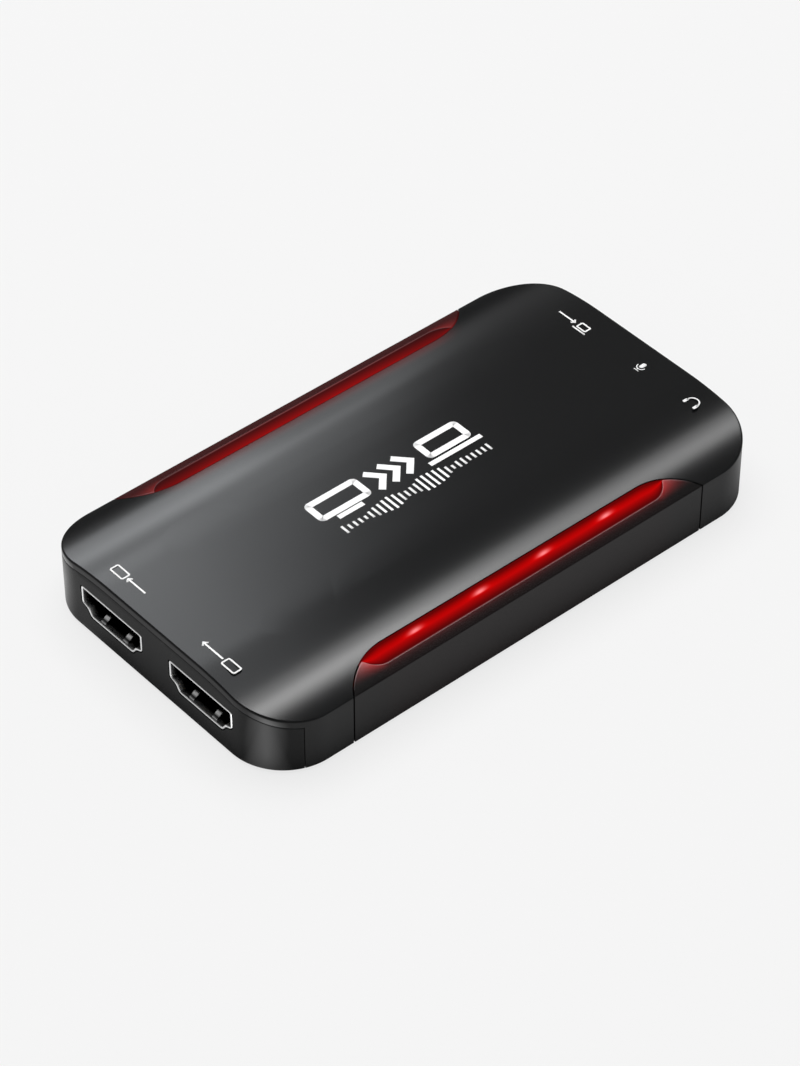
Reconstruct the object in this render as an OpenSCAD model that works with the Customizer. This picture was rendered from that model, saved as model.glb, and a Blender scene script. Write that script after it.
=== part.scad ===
// Video capture box: a slim case with rolled long edges, lit side panels and sockets at both ends.
// X runs from the video end to the data end, Z is up, and the feet stand on Z = 0.

/* [Case] */
// Length of the case, end to end
case_l = 100.4; // [96:0.2:112]
// Width of the case across its long sides
case_w = 57.2; // [55:0.2:64]
// Height of the case from its base to its flat top
case_h = 12.6; // [12.2:0.1:14]
// Height of the upright wall below the rolled edge
wall_h = 9.3; // [8.9:0.1:9.6]
// How far the rolled edge runs in from each long side
roll_run = 18; // [16:0.1:19]
// Corner radius seen from above
corner_r = 10; // [8:0.5:11]
// Wall thickness of the case
wall_t = 1.5; // [1.2:0.1:1.7]
// Thickness of the bottom cover
floor_t = 1.2; // [1:0.1:1.5]
// Gap at each seam between outer pieces
seam = 0.1; // [0.05:0.01:0.15]
// Thickness of the flange that holds a panel behind the case wall
flange_t = 0.8; // [0.6:0.1:1]
// Width of that flange past the opening
flange_w = 1; // [0.6:0.1:1.4]

/* [End panels] */
// Strip of case left above an end panel
panel_rim = 1.2; // [1:0.1:1.4]
// How far the video end panel wraps round the corners, from the end
video_wrap = 6.3; // [5:0.1:8]
// Distance of the data end panel from the long sides
data_panel_in = 5.6; // [5:0.1:7]

/* [Side panels] */
// Distance from the video end to the side panel
panel_video_in = 15.1; // [13:0.1:18]
// Distance from the data end to the side panel
panel_data_in = 14.5; // [11:0.1:16]
// How far the side panel reaches in over the rolled edge
panel_reach = 5.1; // [4.7:0.1:5.4]
// Radius of the panel's rounded ends, seen from above
panel_end_r = 11.5; // [9:0.5:13]

/* [Light channel] */
// Distance from the panel's video end to the straight part of the channel
light_video_in = 8.4; // [7:0.1:10]
// Distance from the panel's data end to the straight part of the channel
light_data_in = 8.5; // [7:0.1:10]
// Distance of the channel's lower rim from the long side
light_rim = 1.8; // [1.5:0.1:2]
// Corner radius at the channel's ends
light_end_r = 3.9; // [3.6:0.1:5]
// Distance of the channel's deepest line from the long side
valley_in = 4.4; // [4.1:0.1:4.6]
// Depth of the channel below the rolled edge
valley_depth = 1; // [0.7:0.05:1.2]
// Height of the light guide's back, where the light goes in
guide_h = 1.1; // [0.9:0.1:1.3]
// Number of light diodes on each side
diode_count = 4; // [2:1:4]
// Spacing of the light diodes
diode_pitch = 12.9; // [10:0.1:13.5]
// Shift of the diode row along the channel
diode_shift = -0.4; // [-2:0.05:2]

/* [Boards] */
// Thickness of the main board
board_t = 1.2; // [1.1:0.1:1.6]
// Height of the posts under the main board
post_h = 1.9; // [1.7:0.1:2.2]
// Gap between the main board's ends and the end panels
board_gap = 0.4; // [0.3:0.1:0.8]
// Distance of the main board's long edges from the long sides
board_side_in = 4.2; // [3.6:0.1:4.8]
// Thickness of each light board
strip_t = 0.8; // [0.6:0.1:1]
// Distance of each light board from the long side
strip_in = 7.6; // [7.4:0.1:7.8]
// Length of light board left beyond its last diodes
strip_end = 2.15; // [1:0.05:3]

/* [Video sockets] */
// Spacing of the two video sockets
video_pitch = 21.3; // [19:0.1:22]
// Shift of the pair from the centre line
video_shift = -0.75; // [-2:0.05:2]
// Outer width of a video socket
video_w = 14.7; // [14.5:0.05:15]
// Outer height of a video socket
video_h = 5.2; // [5:0.05:5.6]
// Depth of a video socket
video_d = 11.5; // [10.5:0.1:11.6]
// How far a video socket sinks below the top of the main board
video_sink = 1; // [0.8:0.1:1.1]
// Height of the straight sides
video_side = 3.4; // [3.2:0.05:3.6]
// Outer width of the narrow bottom
video_foot_w = 10.2; // [9.8:0.1:10.6]
// Metal thickness of a video socket
video_t = 0.35; // [0.25:0.05:0.4]

/* [Data socket] */
// Distance of the data socket from the centre line
data_y = 10.8; // [8:0.1:11]
// Outer width of the data socket
data_w = 13.1; // [12.8:0.1:13.4]
// Outer height of the data socket
data_h = 5.7; // [5.5:0.1:6]
// Depth of the data socket
data_d = 14; // [12:0.1:14]
// How far the data socket sinks below the top of the main board
data_sink = 1.5; // [1.3:0.1:1.6]
// Metal thickness of the data socket
data_t = 0.3; // [0.25:0.05:0.4]

/* [Sound jacks] */
// Distance of the microphone jack from the centre line
mic_y = -4.4; // [-6:0.1:-4]
// Distance of the headphone jack from the centre line
phone_y = -16; // [-17:0.1:-15]
// Bore of a sound jack
jack_bore = 3.6; // [3.55:0.01:3.7]
// Diameter of a jack's nose
jack_nose = 5; // [4.8:0.1:5.2]
// Width of a jack's housing
jack_w = 6; // [5.6:0.1:6.2]
// Height of a jack's housing
jack_h = 5; // [4.9:0.1:5.3]
// Length of a jack's housing behind its nose
jack_l = 10; // [9:0.1:10.4]
// Wall left behind a jack's bore
jack_back = 1.1; // [0.8:0.1:2]

/* [Fasteners and feet] */
// Gap between a boss and the back of a jack
boss_gap = 0.35; // [0.3:0.05:1]
// Distance of the case screws from the long sides
screw_side_in = 8.1; // [7.8:0.1:9]
// Diameter of a case screw
screw_d = 2; // [1.8:0.1:2.2]
// Diameter of a screw's head
head_d = 3.8; // [3.4:0.1:4]
// Height of a screw's head
head_h = 1; // [0.8:0.1:1.2]
// Grip of a screw in the top shell
screw_grip = 4.5; // [3.5:0.1:5]
// Outer diameter of the bosses in the top shell
boss_d = 5; // [4.4:0.1:5]
// Outer diameter of the posts on the bottom cover
post_d = 7; // [6.4:0.1:7.4]
// Diameter of a foot
foot_d = 8; // [7:0.1:8.6]
// How far a foot stands out below the base
foot_proud = 0.6; // [0.4:0.1:1]
// How far a foot is sunk into the bottom cover
foot_sunk = 0.5; // [0.3:0.1:0.6]
// Chamfer round the face a foot stands on
foot_chamfer = 0.3; // [0.1:0.05:0.35]

/* [Hidden] */
$fn = 64;

// Small clearances, and how deep joined forms run into each other
slip = 0.05;
socket_gap = 0.15;
part_gap = 0.3;
head_gap = 0.2;
weld = 0.3;
overcut = 1;

// Rolled edge: an arc tangent to the top that meets the upright wall at a crease
roll_h = case_h - wall_h;
roll_r = (roll_run * roll_run + roll_h * roll_h) / (2 * roll_h);
roll_y = case_w / 2 - roll_run;
roll_z = case_h - roll_r;
function rolled_z(d, inset) = roll_z + sqrt(pow(roll_r - inset, 2) - pow(roll_run - d, 2));

// Levels and places that several pieces share
panel_t = wall_t + flange_t;
flange_low = floor_t + seam;
board_z = floor_t + post_h;
board_top = board_z + board_t;
board_in = panel_t + board_gap;
inner_top = case_h - wall_t;
side_y = -case_w / 2;
video_x = -case_l / 2;
data_x = case_l / 2;
data_panel_w = case_w - 2 * data_panel_in;

// Lip on the bottom cover and stiffening ribs under the top
lip_in = panel_t + 2 * seam;
lip_t = 0.8;
lip_h = 1;
rib_t = 1;
rib_h = 0.8;
rib_l = 26;
rib_pitch = 20;

// Side panel and light channel, seen from above
panel_x0 = video_x + panel_video_in;
panel_x1 = data_x - panel_data_in;
panel_end_run = sqrt(2 * panel_reach * panel_end_r - panel_reach * panel_reach);
light_x0 = panel_x0 + light_video_in;
light_x1 = panel_x1 - light_data_in;

// Light diodes and the guide in front of them
diode_l = 3;
diode_w = 1;
diode_t = 1.2;
diode_air = 0.2;
lens_d = 0.8;
lens_t = 0.24;
light_back = strip_in - diode_t - diode_air;
light_wide = light_back + part_gap;
valley_z = rolled_z(valley_in, 0) - valley_depth;
guide_top = rolled_z(light_rim + wall_t, wall_t) - slip;
guide_low = guide_top - guide_h;
diode_x = (light_x0 + light_x1) / 2 + diode_shift;
diode_z = (guide_top + guide_low) / 2;
diode_row = (diode_count - 1) * diode_pitch;

// Light boards and their headers
strip_rise = 1.2;
strip_top = diode_z + strip_rise;
strip_l = diode_row + diode_l + 2 * strip_end;
header_l = 5.2;
header_t = 2.2;
header_h = 2.4;
header_pin = 0.5;
header_tail = 1;

// Video sockets: wide side up, narrow side sunk in a notch of the main board
video_places = [video_shift + video_pitch / 2, video_shift - video_pitch / 2];
video_z = board_top - video_sink;
video_knee_in = 1.45;
video_knee_drop = 0.58;
video_knee = video_w / 2 - video_knee_in;
video_notch = 2 * (video_knee + socket_gap);
video_block = 2.6;
video_tab_y = 2.45;
video_tab_in = 1.6;
video_tab_l = 2.2;
video_tab_w = 1.6;
video_tab_h = 0.5;
video_leg_l = 1.8;
video_leg_t = 0.6;
video_leg_front = 4;
video_leg_back = 2.5;

// Tongue and contacts of a video socket
tongue_w = 11;
tongue_t = 1.9;
tongue_front = 1.7;
tongue_root = 1;
tongue_drop = 0.75;
tongue_top = video_h - video_t - tongue_drop;
contact_w = 0.35;
contact_t = 0.12;
contact_pitch = 1;
contact_in = 0.5;
contact_l = video_d - video_block - tongue_front - contact_in - part_gap;

// Data socket
data_z = board_top - data_sink;
data_back = data_x - data_d;
data_block = 3;
data_tab_y = data_w / 4;
data_tab_in = 3;
data_tab_l = 3;
data_tab_w = 1.8;
data_tab_h = 0.5;
data_leg_l = 2;
data_leg_w = 1;
data_leg_h = 1.2;
data_leg_front = 4.5;
data_leg_back = 3;

// Tongue and contacts of the data socket
data_tongue_w = 11.1;
data_tongue_t = 1.8;
data_tongue_front = 1.2;
data_tongue_root = 1;
data_tongue_drop = 0.9;
data_tongue_z = data_h - data_t - data_tongue_drop - data_tongue_t;
data_pitch = 2.2;
data_long = [6, 1, contact_t];
data_long_in = 3;
data_short = [1.6, 0.6, contact_t];
data_short_in = 0.6;

// Sound jacks
jack_places = [mic_y, phone_y];
jack_front = panel_t + part_gap;
jack_end = jack_front + jack_l;
jack_depth = jack_end - jack_back;
jack_z = board_top + max(jack_h, jack_nose) / 2;
jack_spring_t = 0.25;
jack_spring_w = 1.6;
jack_spring_in = 4;
jack_spring_shift = 1;
jack_side_spring_h = 3.5;
jack_back_spring_h = 4;
jack_foot = 1.2;
jack_foot_t = 0.2;

// Case screws: bosses stand just behind the jacks
screw_x = data_x - jack_end - jack_spring_t - boss_gap - boss_d / 2;
screw_y = case_w / 2 - screw_side_in;
screw_seat = foot_sunk + head_h + head_gap;
recess_l = 2.3;
recess_w = 0.5;
recess_h = 0.5;

// Leads of the chips: shoulder, slope and foot
lead_in = 0.2;
lead_out = 0.3;
lead_drop = 0.55;
lead_l = 1.1;
lead_t = 0.14;
lead_bend = 0.1;
chip_lift = 0.1;

// Chip behind each video socket: side length, height and lead pitch
receiver_in = 11.7;
receiver_x = video_x + video_d + receiver_in;
receiver_size = [9, 9];
receiver_h = 1.2;
receiver_pitch = 0.7;
splitter_size = [7, 7];
splitter_h = 1;
splitter_pitch = 0.65;
video_row_y = 1.5;

// Bridge chip with its pad and heat sink, and the memory beside it
bridge_x = 3;
bridge_y = 1;
bridge_size = 14;
bridge_h = 1.2;
grid_rim = 0.6;
grid_carrier = 0.4;
pad_size = 13;
pad_t = 0.5;
sink_size = 19;
sink_base = 1;
sink_air = 1.1;
sink_top = inner_top - rib_h - sink_air;
sink_h = sink_top - board_top - bridge_h - pad_t;
fin_t = 0.8;
fin_count = 7;
memory_size = [8, 12];
memory_h = 1;
memory_out = 15;
memory_down = 5;
memory_place = [bridge_x - memory_out, bridge_y - memory_down];

// Parts between the bridge chip and the data end
flash_size = [4, 5];
flash_h = 1.4;
flash_pitch = 1.27;
flash_in = 15.2;
flash_down = 5;
flash_place = [data_back - flash_in, bridge_y - flash_down];
sound_size = [4.4, 6.5];
sound_h = 1;
sound_pitch = 0.65;
sound_in = 8.6;
sound_place = [data_x - jack_end - sound_in, (mic_y + phone_y) / 2];
regulator_size = [2.6, 3];
regulator_h = 1;
regulator_pitch = 0.95;
regulator_in = 9.2;
regulator_x = data_back - regulator_in;
regulator_y = 3;

// Crystals, coils and capacitors
crystal_l = 5;
crystal_w = 3;
crystal_h = 1.6;
crystal_up = 8;
crystal_out = 13.5;
crystal_in = 17.2;
crystal_y = bridge_y + crystal_up;
crystal_places = [[bridge_x - crystal_out, crystal_y], [data_back - crystal_in, crystal_y]];
coil_size = 4;
coil_h = 2;
coil_ring = 3.4;
coil_core = 2;
coil_groove = 0.4;
coil_in = 10.2;
coil_side_in = 12.6;
coil_step = [6, 1.5];
coil_place = [data_back - coil_in, case_w / 2 - coil_side_in];
coil_places = [coil_place, [coil_place[0] - coil_step[0], coil_place[1] + coil_step[1]]];
can_d = 4;
can_h = 4.6;
can_base = 4.3;
can_base_h = 0.8;
can_gap = 4.2;
can_shift = 3;
can_side_in = 12.6;
can_video_in = 10;
can_data_x = data_back - can_gap;
can_video_x = receiver_x + can_video_in;
can_y = case_w / 2 - can_side_in;
can_places = [[can_data_x, data_y - can_shift], [can_data_x, data_y + can_shift],
  [can_video_x, -can_y], [can_video_x, can_y]];

// Rows of small parts
capacitor_size = [1, 1.8, 0.9];
capacitor_pitch = 2.2;
capacitor_side_in = 14.6;
resistor_size = [0.8, 1.5, 0.45];
resistor_pitch = 1.8;
resistor_side_in = 12.6;
resistor_data_in = 15.4;

// Lifts a piece from the base of the case to its place above the feet
module raised() {
  translate([0, 0, foot_proud]) children();
}

// Mirrors a near-side piece to the far side
module far_side() {
  mirror([0, 1, 0]) children();
}

// Cross-section of the case, inset by the same distance all round
module profile(inset, low = 0) {
  intersection() {
    translate([-(case_w / 2 - inset), low]) square([case_w - 2 * inset, case_h - inset - low]);
    union() {
      translate([-roll_y, low]) square([2 * roll_y, case_h - inset - low]);
      for (s = [-1, 1]) {
        translate([s * roll_y, roll_z]) circle(roll_r - inset);
      }
    }
  }
}

// Outline of the case from above, inset by the same distance all round
module outline(inset) {
  square([case_l - 2 * corner_r, case_w - 2 * inset], center = true);
  square([case_l - 2 * inset, case_w - 2 * corner_r], center = true);
  for (sx = [-1, 1]) {
    for (sy = [-1, 1]) {
      translate([sx * (case_l / 2 - corner_r), sy * (case_w / 2 - corner_r)]) circle(corner_r - inset);
    }
  }
}

// Profile carried along the whole length of the case
module along_case(inset, low = 0) {
  rotate([90, 0, 90]) translate([0, 0, -case_l]) linear_extrude(2 * case_l) profile(inset, low);
}

// Outer form of the case, or the hollow inside it
module case_form(inset, low = 0) {
  intersection() {
    along_case(inset, low);
    translate([0, 0, low]) linear_extrude(case_h - low) outline(inset);
  }
}

// Upright wall between two insets, as high as the case
module wall_ring(outer, inner) {
  linear_extrude(case_h) difference() {
    outline(outer);
    outline(inner);
  }
}

// Side panel seen from above, on the near side, grown or shrunk by a distance
module panel_plan(grow) {
  x0 = panel_x0 + panel_end_run;
  x1 = panel_x1 - panel_end_run;
  translate([0, side_y]) {
    translate([x0, -overcut]) square([x1 - x0, panel_reach + grow + overcut]);
    for (x = [x0, x1]) {
      translate([x, panel_reach - panel_end_r]) circle(panel_end_r + grow);
    }
  }
}

module panel_prism(grow) {
  translate([0, 0, -overcut]) linear_extrude(case_h + 2 * overcut) panel_plan(grow);
}

// Light channel seen from above, from its rim to a depth behind the panel
module channel_plan(grow, back) {
  translate([0, side_y]) intersection() {
    translate([video_x, 0]) square([case_l, back]);
    union() {
      translate([light_x0, light_rim - grow]) square([light_x1 - light_x0, back]);
      for (x = [light_x0, light_x1]) {
        translate([x, light_rim + light_end_r]) circle(light_end_r + grow);
      }
    }
  }
}

// Space for the video end panel from a height up: the end wall, both corners and a little of each side
module video_end_space(gap, low) {
  length = video_wrap + overcut - gap;
  intersection() {
    translate([video_x - overcut, -case_w, low]) cube([length, 2 * case_w, case_h]);
    translate([0, 0, -panel_rim - gap]) along_case(0);
  }
}

// Space for the data end panel from a height up: the flat of the end wall and the start of each corner
module data_end_space(gap, low) {
  w = data_panel_w - 2 * gap;
  intersection() {
    translate([data_x - corner_r, -w / 2, low]) cube([corner_r + overcut, w, case_h]);
    translate([0, 0, -panel_rim - gap]) along_case(0);
  }
}

// Places a piece at each of the four case screws
module at_screws() {
  for (sx = [-1, 1]) {
    for (sy = [-1, 1]) {
      translate([sx * screw_x, sy * screw_y, 0]) children();
    }
  }
}

module top_shell() {
  color("#3a3b3d") raised() difference() {
    union() {
      difference() {
        case_form(0);
        case_form(wall_t, -overcut);
      }
      intersection() {
        case_form(wall_t - weld);
        at_screws() translate([0, 0, board_top]) cylinder(h = case_h - board_top, d = boss_d);
      }
      for (i = [-1, 0, 1]) {
        translate([i * rib_pitch - rib_t / 2, -rib_l / 2, inner_top - rib_h])
          cube([rib_t, rib_l, rib_h + weld]);
      }
    }
    at_screws() cylinder(h = board_top + screw_grip + weld, d = screw_d + 2 * slip);
    panel_prism(0);
    far_side() panel_prism(0);
    intersection() {
      wall_ring(-overcut, wall_t + weld);
      union() {
        video_end_space(0, -overcut);
        data_end_space(0, -overcut);
      }
    }
  }
}

module bottom_cover() {
  color("#2c2d2f") raised() difference() {
    union() {
      linear_extrude(floor_t) outline(wall_t + seam);
      translate([0, 0, floor_t]) linear_extrude(lip_h) difference() {
        outline(lip_in);
        outline(lip_in + lip_t);
      }
      at_screws() cylinder(h = board_z, d = post_d);
    }
    at_screws() {
      translate([0, 0, -overcut]) cylinder(h = overcut + foot_sunk, d = foot_d + 2 * seam);
      cylinder(h = screw_seat, d = head_d + 2 * socket_gap);
      cylinder(h = board_z + overcut, d = screw_d + 2 * socket_gap);
    }
  }
}

// End panel: a face flush with the case down to its base, and a flange behind the case wall
module end_panel_form(side, wide) {
  reach = side > 0 ? corner_r : video_wrap + flange_w;
  intersection() {
    wall_ring(0, wall_t);
    if (side < 0) video_end_space(seam, 0);
    if (side > 0) data_end_space(seam, 0);
  }
  intersection() {
    wall_ring(wall_t - weld, panel_t);
    along_case(wall_t + slip);
    if (side < 0) video_end_space(seam, flange_low);
    if (side > 0) data_end_space(seam, flange_low);
  }
  intersection() {
    wall_ring(wall_t + slip, panel_t);
    along_case(wall_t + slip);
    translate([side > 0 ? data_x - reach : video_x, -wide / 2, flange_low])
      cube([reach, wide, case_h]);
  }
}

module video_end_panel() {
  color("#303133") raised() difference() {
    end_panel_form(-1, case_w);
    for (y = video_places) {
      at_video(y) translate([-overcut, 0, 0]) video_prism(-socket_gap, video_d);
    }
  }
}

module data_end_panel() {
  color("#303133") raised() difference() {
    end_panel_form(1, data_panel_w + 2 * flange_w);
    at_data() translate([-overcut, -data_w / 2 - socket_gap, -socket_gap])
      cube([data_d, data_w + 2 * socket_gap, data_h + 2 * socket_gap]);
    for (y = jack_places) {
      at_jack(y) translate([-overcut, 0, 0]) along_x(jack_l, jack_nose + 2 * socket_gap);
    }
  }
}

module near_panel() {
  difference() {
    union() {
      intersection() {
        difference() {
          case_form(0);
          case_form(panel_t, -overcut);
        }
        panel_prism(-seam);
      }
      intersection() {
        difference() {
          case_form(wall_t + slip);
          case_form(panel_t, -overcut);
        }
        panel_prism(flange_w);
      }
    }
    intersection() {
      case_form(wall_t, -overcut);
      translate([video_x, -case_w, -overcut]) cube([case_l, 2 * case_w, floor_t + overcut + slip]);
    }
    translate([0, 0, guide_low - slip]) linear_extrude(case_h) channel_plan(0, light_wide);
  }
}

module near_side_panel() {
  color("#1b1416") raised() near_panel();
}

module far_side_panel() {
  color("#1b1416") raised() far_side() near_panel();
}

// Light guide: a bar behind the panel with a valley cut along its visible face
module near_guide() {
  intersection() {
    rotate([90, 0, 90]) translate([side_y, 0, -case_l]) linear_extrude(2 * case_l) polygon([
      [light_rim, guide_low],
      [light_rim, rolled_z(light_rim, 0)],
      [valley_in, valley_z],
      [panel_reach, rolled_z(panel_reach, 0)],
      [panel_reach, guide_low]
    ]);
    panel_prism(-seam);
    translate([0, 0, guide_low]) linear_extrude(case_h) channel_plan(-seam, light_back);
  }
  translate([0, 0, guide_low]) linear_extrude(guide_h) channel_plan(-seam, light_back);
}

module near_light_guide() {
  color("#c8101a") raised() near_guide();
}

module far_light_guide() {
  color("#c8101a") raised() far_side() near_guide();
}

module near_strip() {
  translate([diode_x - strip_l / 2, side_y + strip_in, board_top])
    cube([strip_l, strip_t, strip_top - board_top]);
}

module near_light_board() {
  color("#1f3d2b") raised() near_strip();
}

module far_light_board() {
  color("#1f3d2b") raised() far_side() near_strip();
}

// Row of side-firing diodes, each a body with a round lens on its front
module near_diodes() {
  body_t = diode_t - lens_t;
  for (i = [0 : diode_count - 1]) {
    translate([diode_x + i * diode_pitch - diode_row / 2, side_y + strip_in, diode_z]) {
      translate([-diode_l / 2, -body_t, -diode_w / 2]) cube([diode_l, body_t, diode_w]);
      rotate([90, 0, 0]) cylinder(h = diode_t, d = lens_d);
    }
  }
}

module near_light_diodes() {
  color("#ff4a3c") raised() near_diodes();
}

module far_light_diodes() {
  color("#ff4a3c") raised() far_side() near_diodes();
}

// Right-angle header that ties a light board to the main board
module near_header() {
  y = side_y + strip_in + strip_t;
  translate([diode_x - header_l / 2, y, board_top]) cube([header_l, header_t, header_h]);
  for (s = [-1, 1]) {
    translate([diode_x + s * header_l / 4 - header_pin / 2, y, board_top])
      cube([header_pin, header_t + header_tail, header_pin]);
  }
}

module near_light_header() {
  color("#141414") raised() near_header();
}

module far_light_header() {
  color("#141414") raised() far_side() near_header();
}

module main_board() {
  color("#173a26") raised() translate([0, 0, board_z]) linear_extrude(board_t) difference() {
    intersection() {
      outline(board_in);
      square([case_l, case_w - 2 * board_side_in], center = true);
    }
    at_screws() circle(d = screw_d + 4 * socket_gap);
    for (y = video_places) {
      translate([video_x - overcut, y - video_notch / 2])
        square([video_d + part_gap + overcut, video_notch]);
    }
    translate([data_back - part_gap, data_y - data_w / 2 - socket_gap])
      square([data_d + part_gap + overcut, data_w + 2 * socket_gap]);
  }
}

// Half of a video socket's outline at a given inset, from the top edge to the foot.
// An inset moves each bend by a share of it, so that the slanted walls keep their thickness.
function video_half(g) = [
  [video_w / 2 - g, video_h - g],
  [video_w / 2 - g, video_h - video_side + 0.4 * g],
  [video_knee - 0.6 * g, video_h - video_side - video_knee_drop + g],
  [video_foot_w / 2 - 0.6 * g, g]
];
function mirrored(points) = [for (i = [len(points) - 1 : -1 : 0]) [-points[i][0], points[i][1]]];

module video_prism(g, depth) {
  rotate([90, 0, 90]) linear_extrude(depth) polygon(concat(video_half(g), mirrored(video_half(g))));
}

module at_video(y) {
  translate([video_x, y, video_z]) children();
}

// Folded metal shell with two spring tabs inside and four legs on the main board
module video_shell(y) {
  leg_y = video_knee + 2 * socket_gap;
  leg_h = video_h - video_side - video_sink - slip;
  at_video(y) {
    difference() {
      video_prism(0, video_d);
      translate([-overcut, 0, 0]) video_prism(video_t, video_d + 2 * overcut);
    }
    for (s = [-1, 1]) {
      translate([video_tab_in, s * video_tab_y - video_tab_w / 2, video_t / 2])
        cube([video_tab_l, video_tab_w, video_tab_h]);
      for (x = [video_leg_front, video_d - video_leg_back]) {
        translate([x, s > 0 ? leg_y : -leg_y - video_leg_t, video_sink])
          cube([video_leg_l, video_leg_t, leg_h]);
      }
    }
  }
}

// Block at the back of the socket with a tongue in front of it
module video_insulator(y) {
  at_video(y) {
    translate([video_d - video_block, 0, 0]) video_prism(video_t + slip, video_block);
    translate([tongue_front, -tongue_w / 2, tongue_top - tongue_t])
      cube([video_d - tongue_front - tongue_root, tongue_w, tongue_t]);
  }
}

// Ten contacts on the upper face of the tongue and nine between them on the lower face
module video_contacts(y) {
  size = [contact_l, contact_w, contact_t];
  low = tongue_top - tongue_t - contact_t;
  at_video(y) translate([tongue_front + contact_in, -contact_w / 2, 0]) {
    for (i = [0 : 9]) {
      translate([0, (i - 4.5) * contact_pitch, tongue_top]) cube(size);
    }
    for (i = [0 : 8]) {
      translate([0, (i - 4) * contact_pitch, low]) cube(size);
    }
  }
}

module video_in_shell() {
  color("#c9cbcd") raised() video_shell(video_places[0]);
}

module video_in_insulator() {
  color("#151515") raised() video_insulator(video_places[0]);
}

module video_in_contacts() {
  color("#c9a24a") raised() video_contacts(video_places[0]);
}

module video_out_shell() {
  color("#c9cbcd") raised() video_shell(video_places[1]);
}

module video_out_insulator() {
  color("#151515") raised() video_insulator(video_places[1]);
}

module video_out_contacts() {
  color("#c9a24a") raised() video_contacts(video_places[1]);
}

// Data socket: a folded metal box round one tongue, facing the data end
module at_data() {
  translate([data_x, data_y, data_z]) mirror([1, 0, 0]) children();
}

module data_shell() {
  color("#c9cbcd") raised() at_data() {
    difference() {
      translate([0, -data_w / 2, 0]) cube([data_d, data_w, data_h]);
      translate([-overcut, -data_w / 2 + data_t, data_t])
        cube([data_d + 2 * overcut, data_w - 2 * data_t, data_h - 2 * data_t]);
    }
    for (s = [-1, 1]) {
      for (x = [data_leg_front, data_d - data_leg_back]) {
        translate([x, s > 0 ? data_w / 2 - data_t : -data_w / 2 - data_leg_w, data_sink])
          cube([data_leg_l, data_t + data_leg_w, data_leg_h]);
      }
      translate([data_tab_in, s * data_tab_y - data_tab_w / 2, data_t / 2])
        cube([data_tab_l, data_tab_w, data_tab_h]);
    }
  }
}

module data_insulator() {
  gap = data_t + slip;
  color("#12325c") raised() at_data() {
    translate([data_d - data_block, gap - data_w / 2, gap])
      cube([data_block, data_w - 2 * gap, data_h - 2 * gap]);
    translate([data_tongue_front, -data_tongue_w / 2, data_tongue_z])
      cube([data_d - data_tongue_front - data_tongue_root, data_tongue_w, data_tongue_t]);
  }
}

// Four long contacts under the tongue and five short ones at its tip
module data_contacts() {
  color("#c9a24a") raised() at_data() translate([data_tongue_front, 0, data_tongue_z - contact_t]) {
    for (i = [0 : 3]) {
      translate([data_long_in, (i - 1.5) * data_pitch - data_long[1] / 2, 0]) cube(data_long);
    }
    for (i = [0 : 4]) {
      translate([data_short_in, (i - 2) * data_pitch - data_short[1] / 2, 0]) cube(data_short);
    }
  }
}

module along_x(length, d) {
  rotate([0, 90, 0]) cylinder(h = length, d = d);
}

module at_jack(y) {
  translate([data_x, y, jack_z]) mirror([1, 0, 0]) children();
}

// Sound jack: a housing on the main board with a round nose in the data end panel
module jack_housing(y) {
  at_jack(y) difference() {
    union() {
      along_x(jack_front + weld, jack_nose);
      translate([jack_front, -jack_w / 2, board_top - jack_z]) cube([jack_l, jack_w, jack_h]);
    }
    translate([-overcut, 0, 0]) along_x(jack_depth + overcut, jack_bore);
  }
}

// Two side springs and one rear spring, each with a foot on the main board
module jack_springs(y) {
  at_jack(y) translate([0, 0, board_top - jack_z]) {
    for (s = [-1, 1]) {
      translate([jack_front + jack_spring_in + s * jack_spring_shift, 0, 0]) {
        translate([0, s > 0 ? jack_w / 2 : -jack_w / 2 - jack_spring_t, 0])
          cube([jack_spring_w, jack_spring_t, jack_side_spring_h]);
        translate([0, s > 0 ? jack_w / 2 : -jack_w / 2 - jack_foot, 0])
          cube([jack_spring_w, jack_foot, jack_foot_t]);
      }
    }
    translate([jack_end, -jack_spring_w / 2, 0]) cube([jack_spring_t, jack_spring_w, jack_back_spring_h]);
  }
}

module mic_jack_housing() {
  color("#1a1a1c") raised() jack_housing(mic_y);
}

module mic_jack_springs() {
  color("#c9a24a") raised() jack_springs(mic_y);
}

module headphone_jack_housing() {
  color("#1a1a1c") raised() jack_housing(phone_y);
}

module headphone_jack_springs() {
  color("#c9a24a") raised() jack_springs(phone_y);
}

// Places a part on the top face of the main board
module on_board(place) {
  translate([place[0], place[1], board_top]) children();
}

// One gull-wing lead, seen from its side: a shoulder at the body and a foot on the board
module lead(w, h) {
  rotate([90, 0, 0]) translate([0, 0, -w / 2]) linear_extrude(w) polygon([
    [-lead_in, h / 2],
    [lead_out, h / 2],
    [lead_drop, 0],
    [lead_l, 0],
    [lead_l, lead_t],
    [lead_drop + lead_bend, lead_t],
    [lead_out + lead_bend, h / 2 + lead_t],
    [-lead_in, h / 2 + lead_t]
  ]);
}

// Chip with rows of leads: on two sides, or on all four
module leaded_chip(size, h, per_side, pitch, sides) {
  translate([-size[0] / 2, -size[1] / 2, chip_lift]) cube([size[0], size[1], h]);
  for (k = [0 : sides - 1]) {
    turn = sides == 2 ? k * 180 : k * 90;
    reach = sides == 2 || k % 2 == 0 ? size[0] / 2 : size[1] / 2;
    for (i = [0 : per_side - 1]) {
      rotate([0, 0, turn]) translate([reach, (i - (per_side - 1) / 2) * pitch, 0]) lead(pitch * 0.45, h);
    }
  }
}

module receiver_chip() {
  color("#191a1c") raised() on_board([receiver_x, video_places[0]])
    leaded_chip(receiver_size, receiver_h, 11, receiver_pitch, 4);
}

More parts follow.
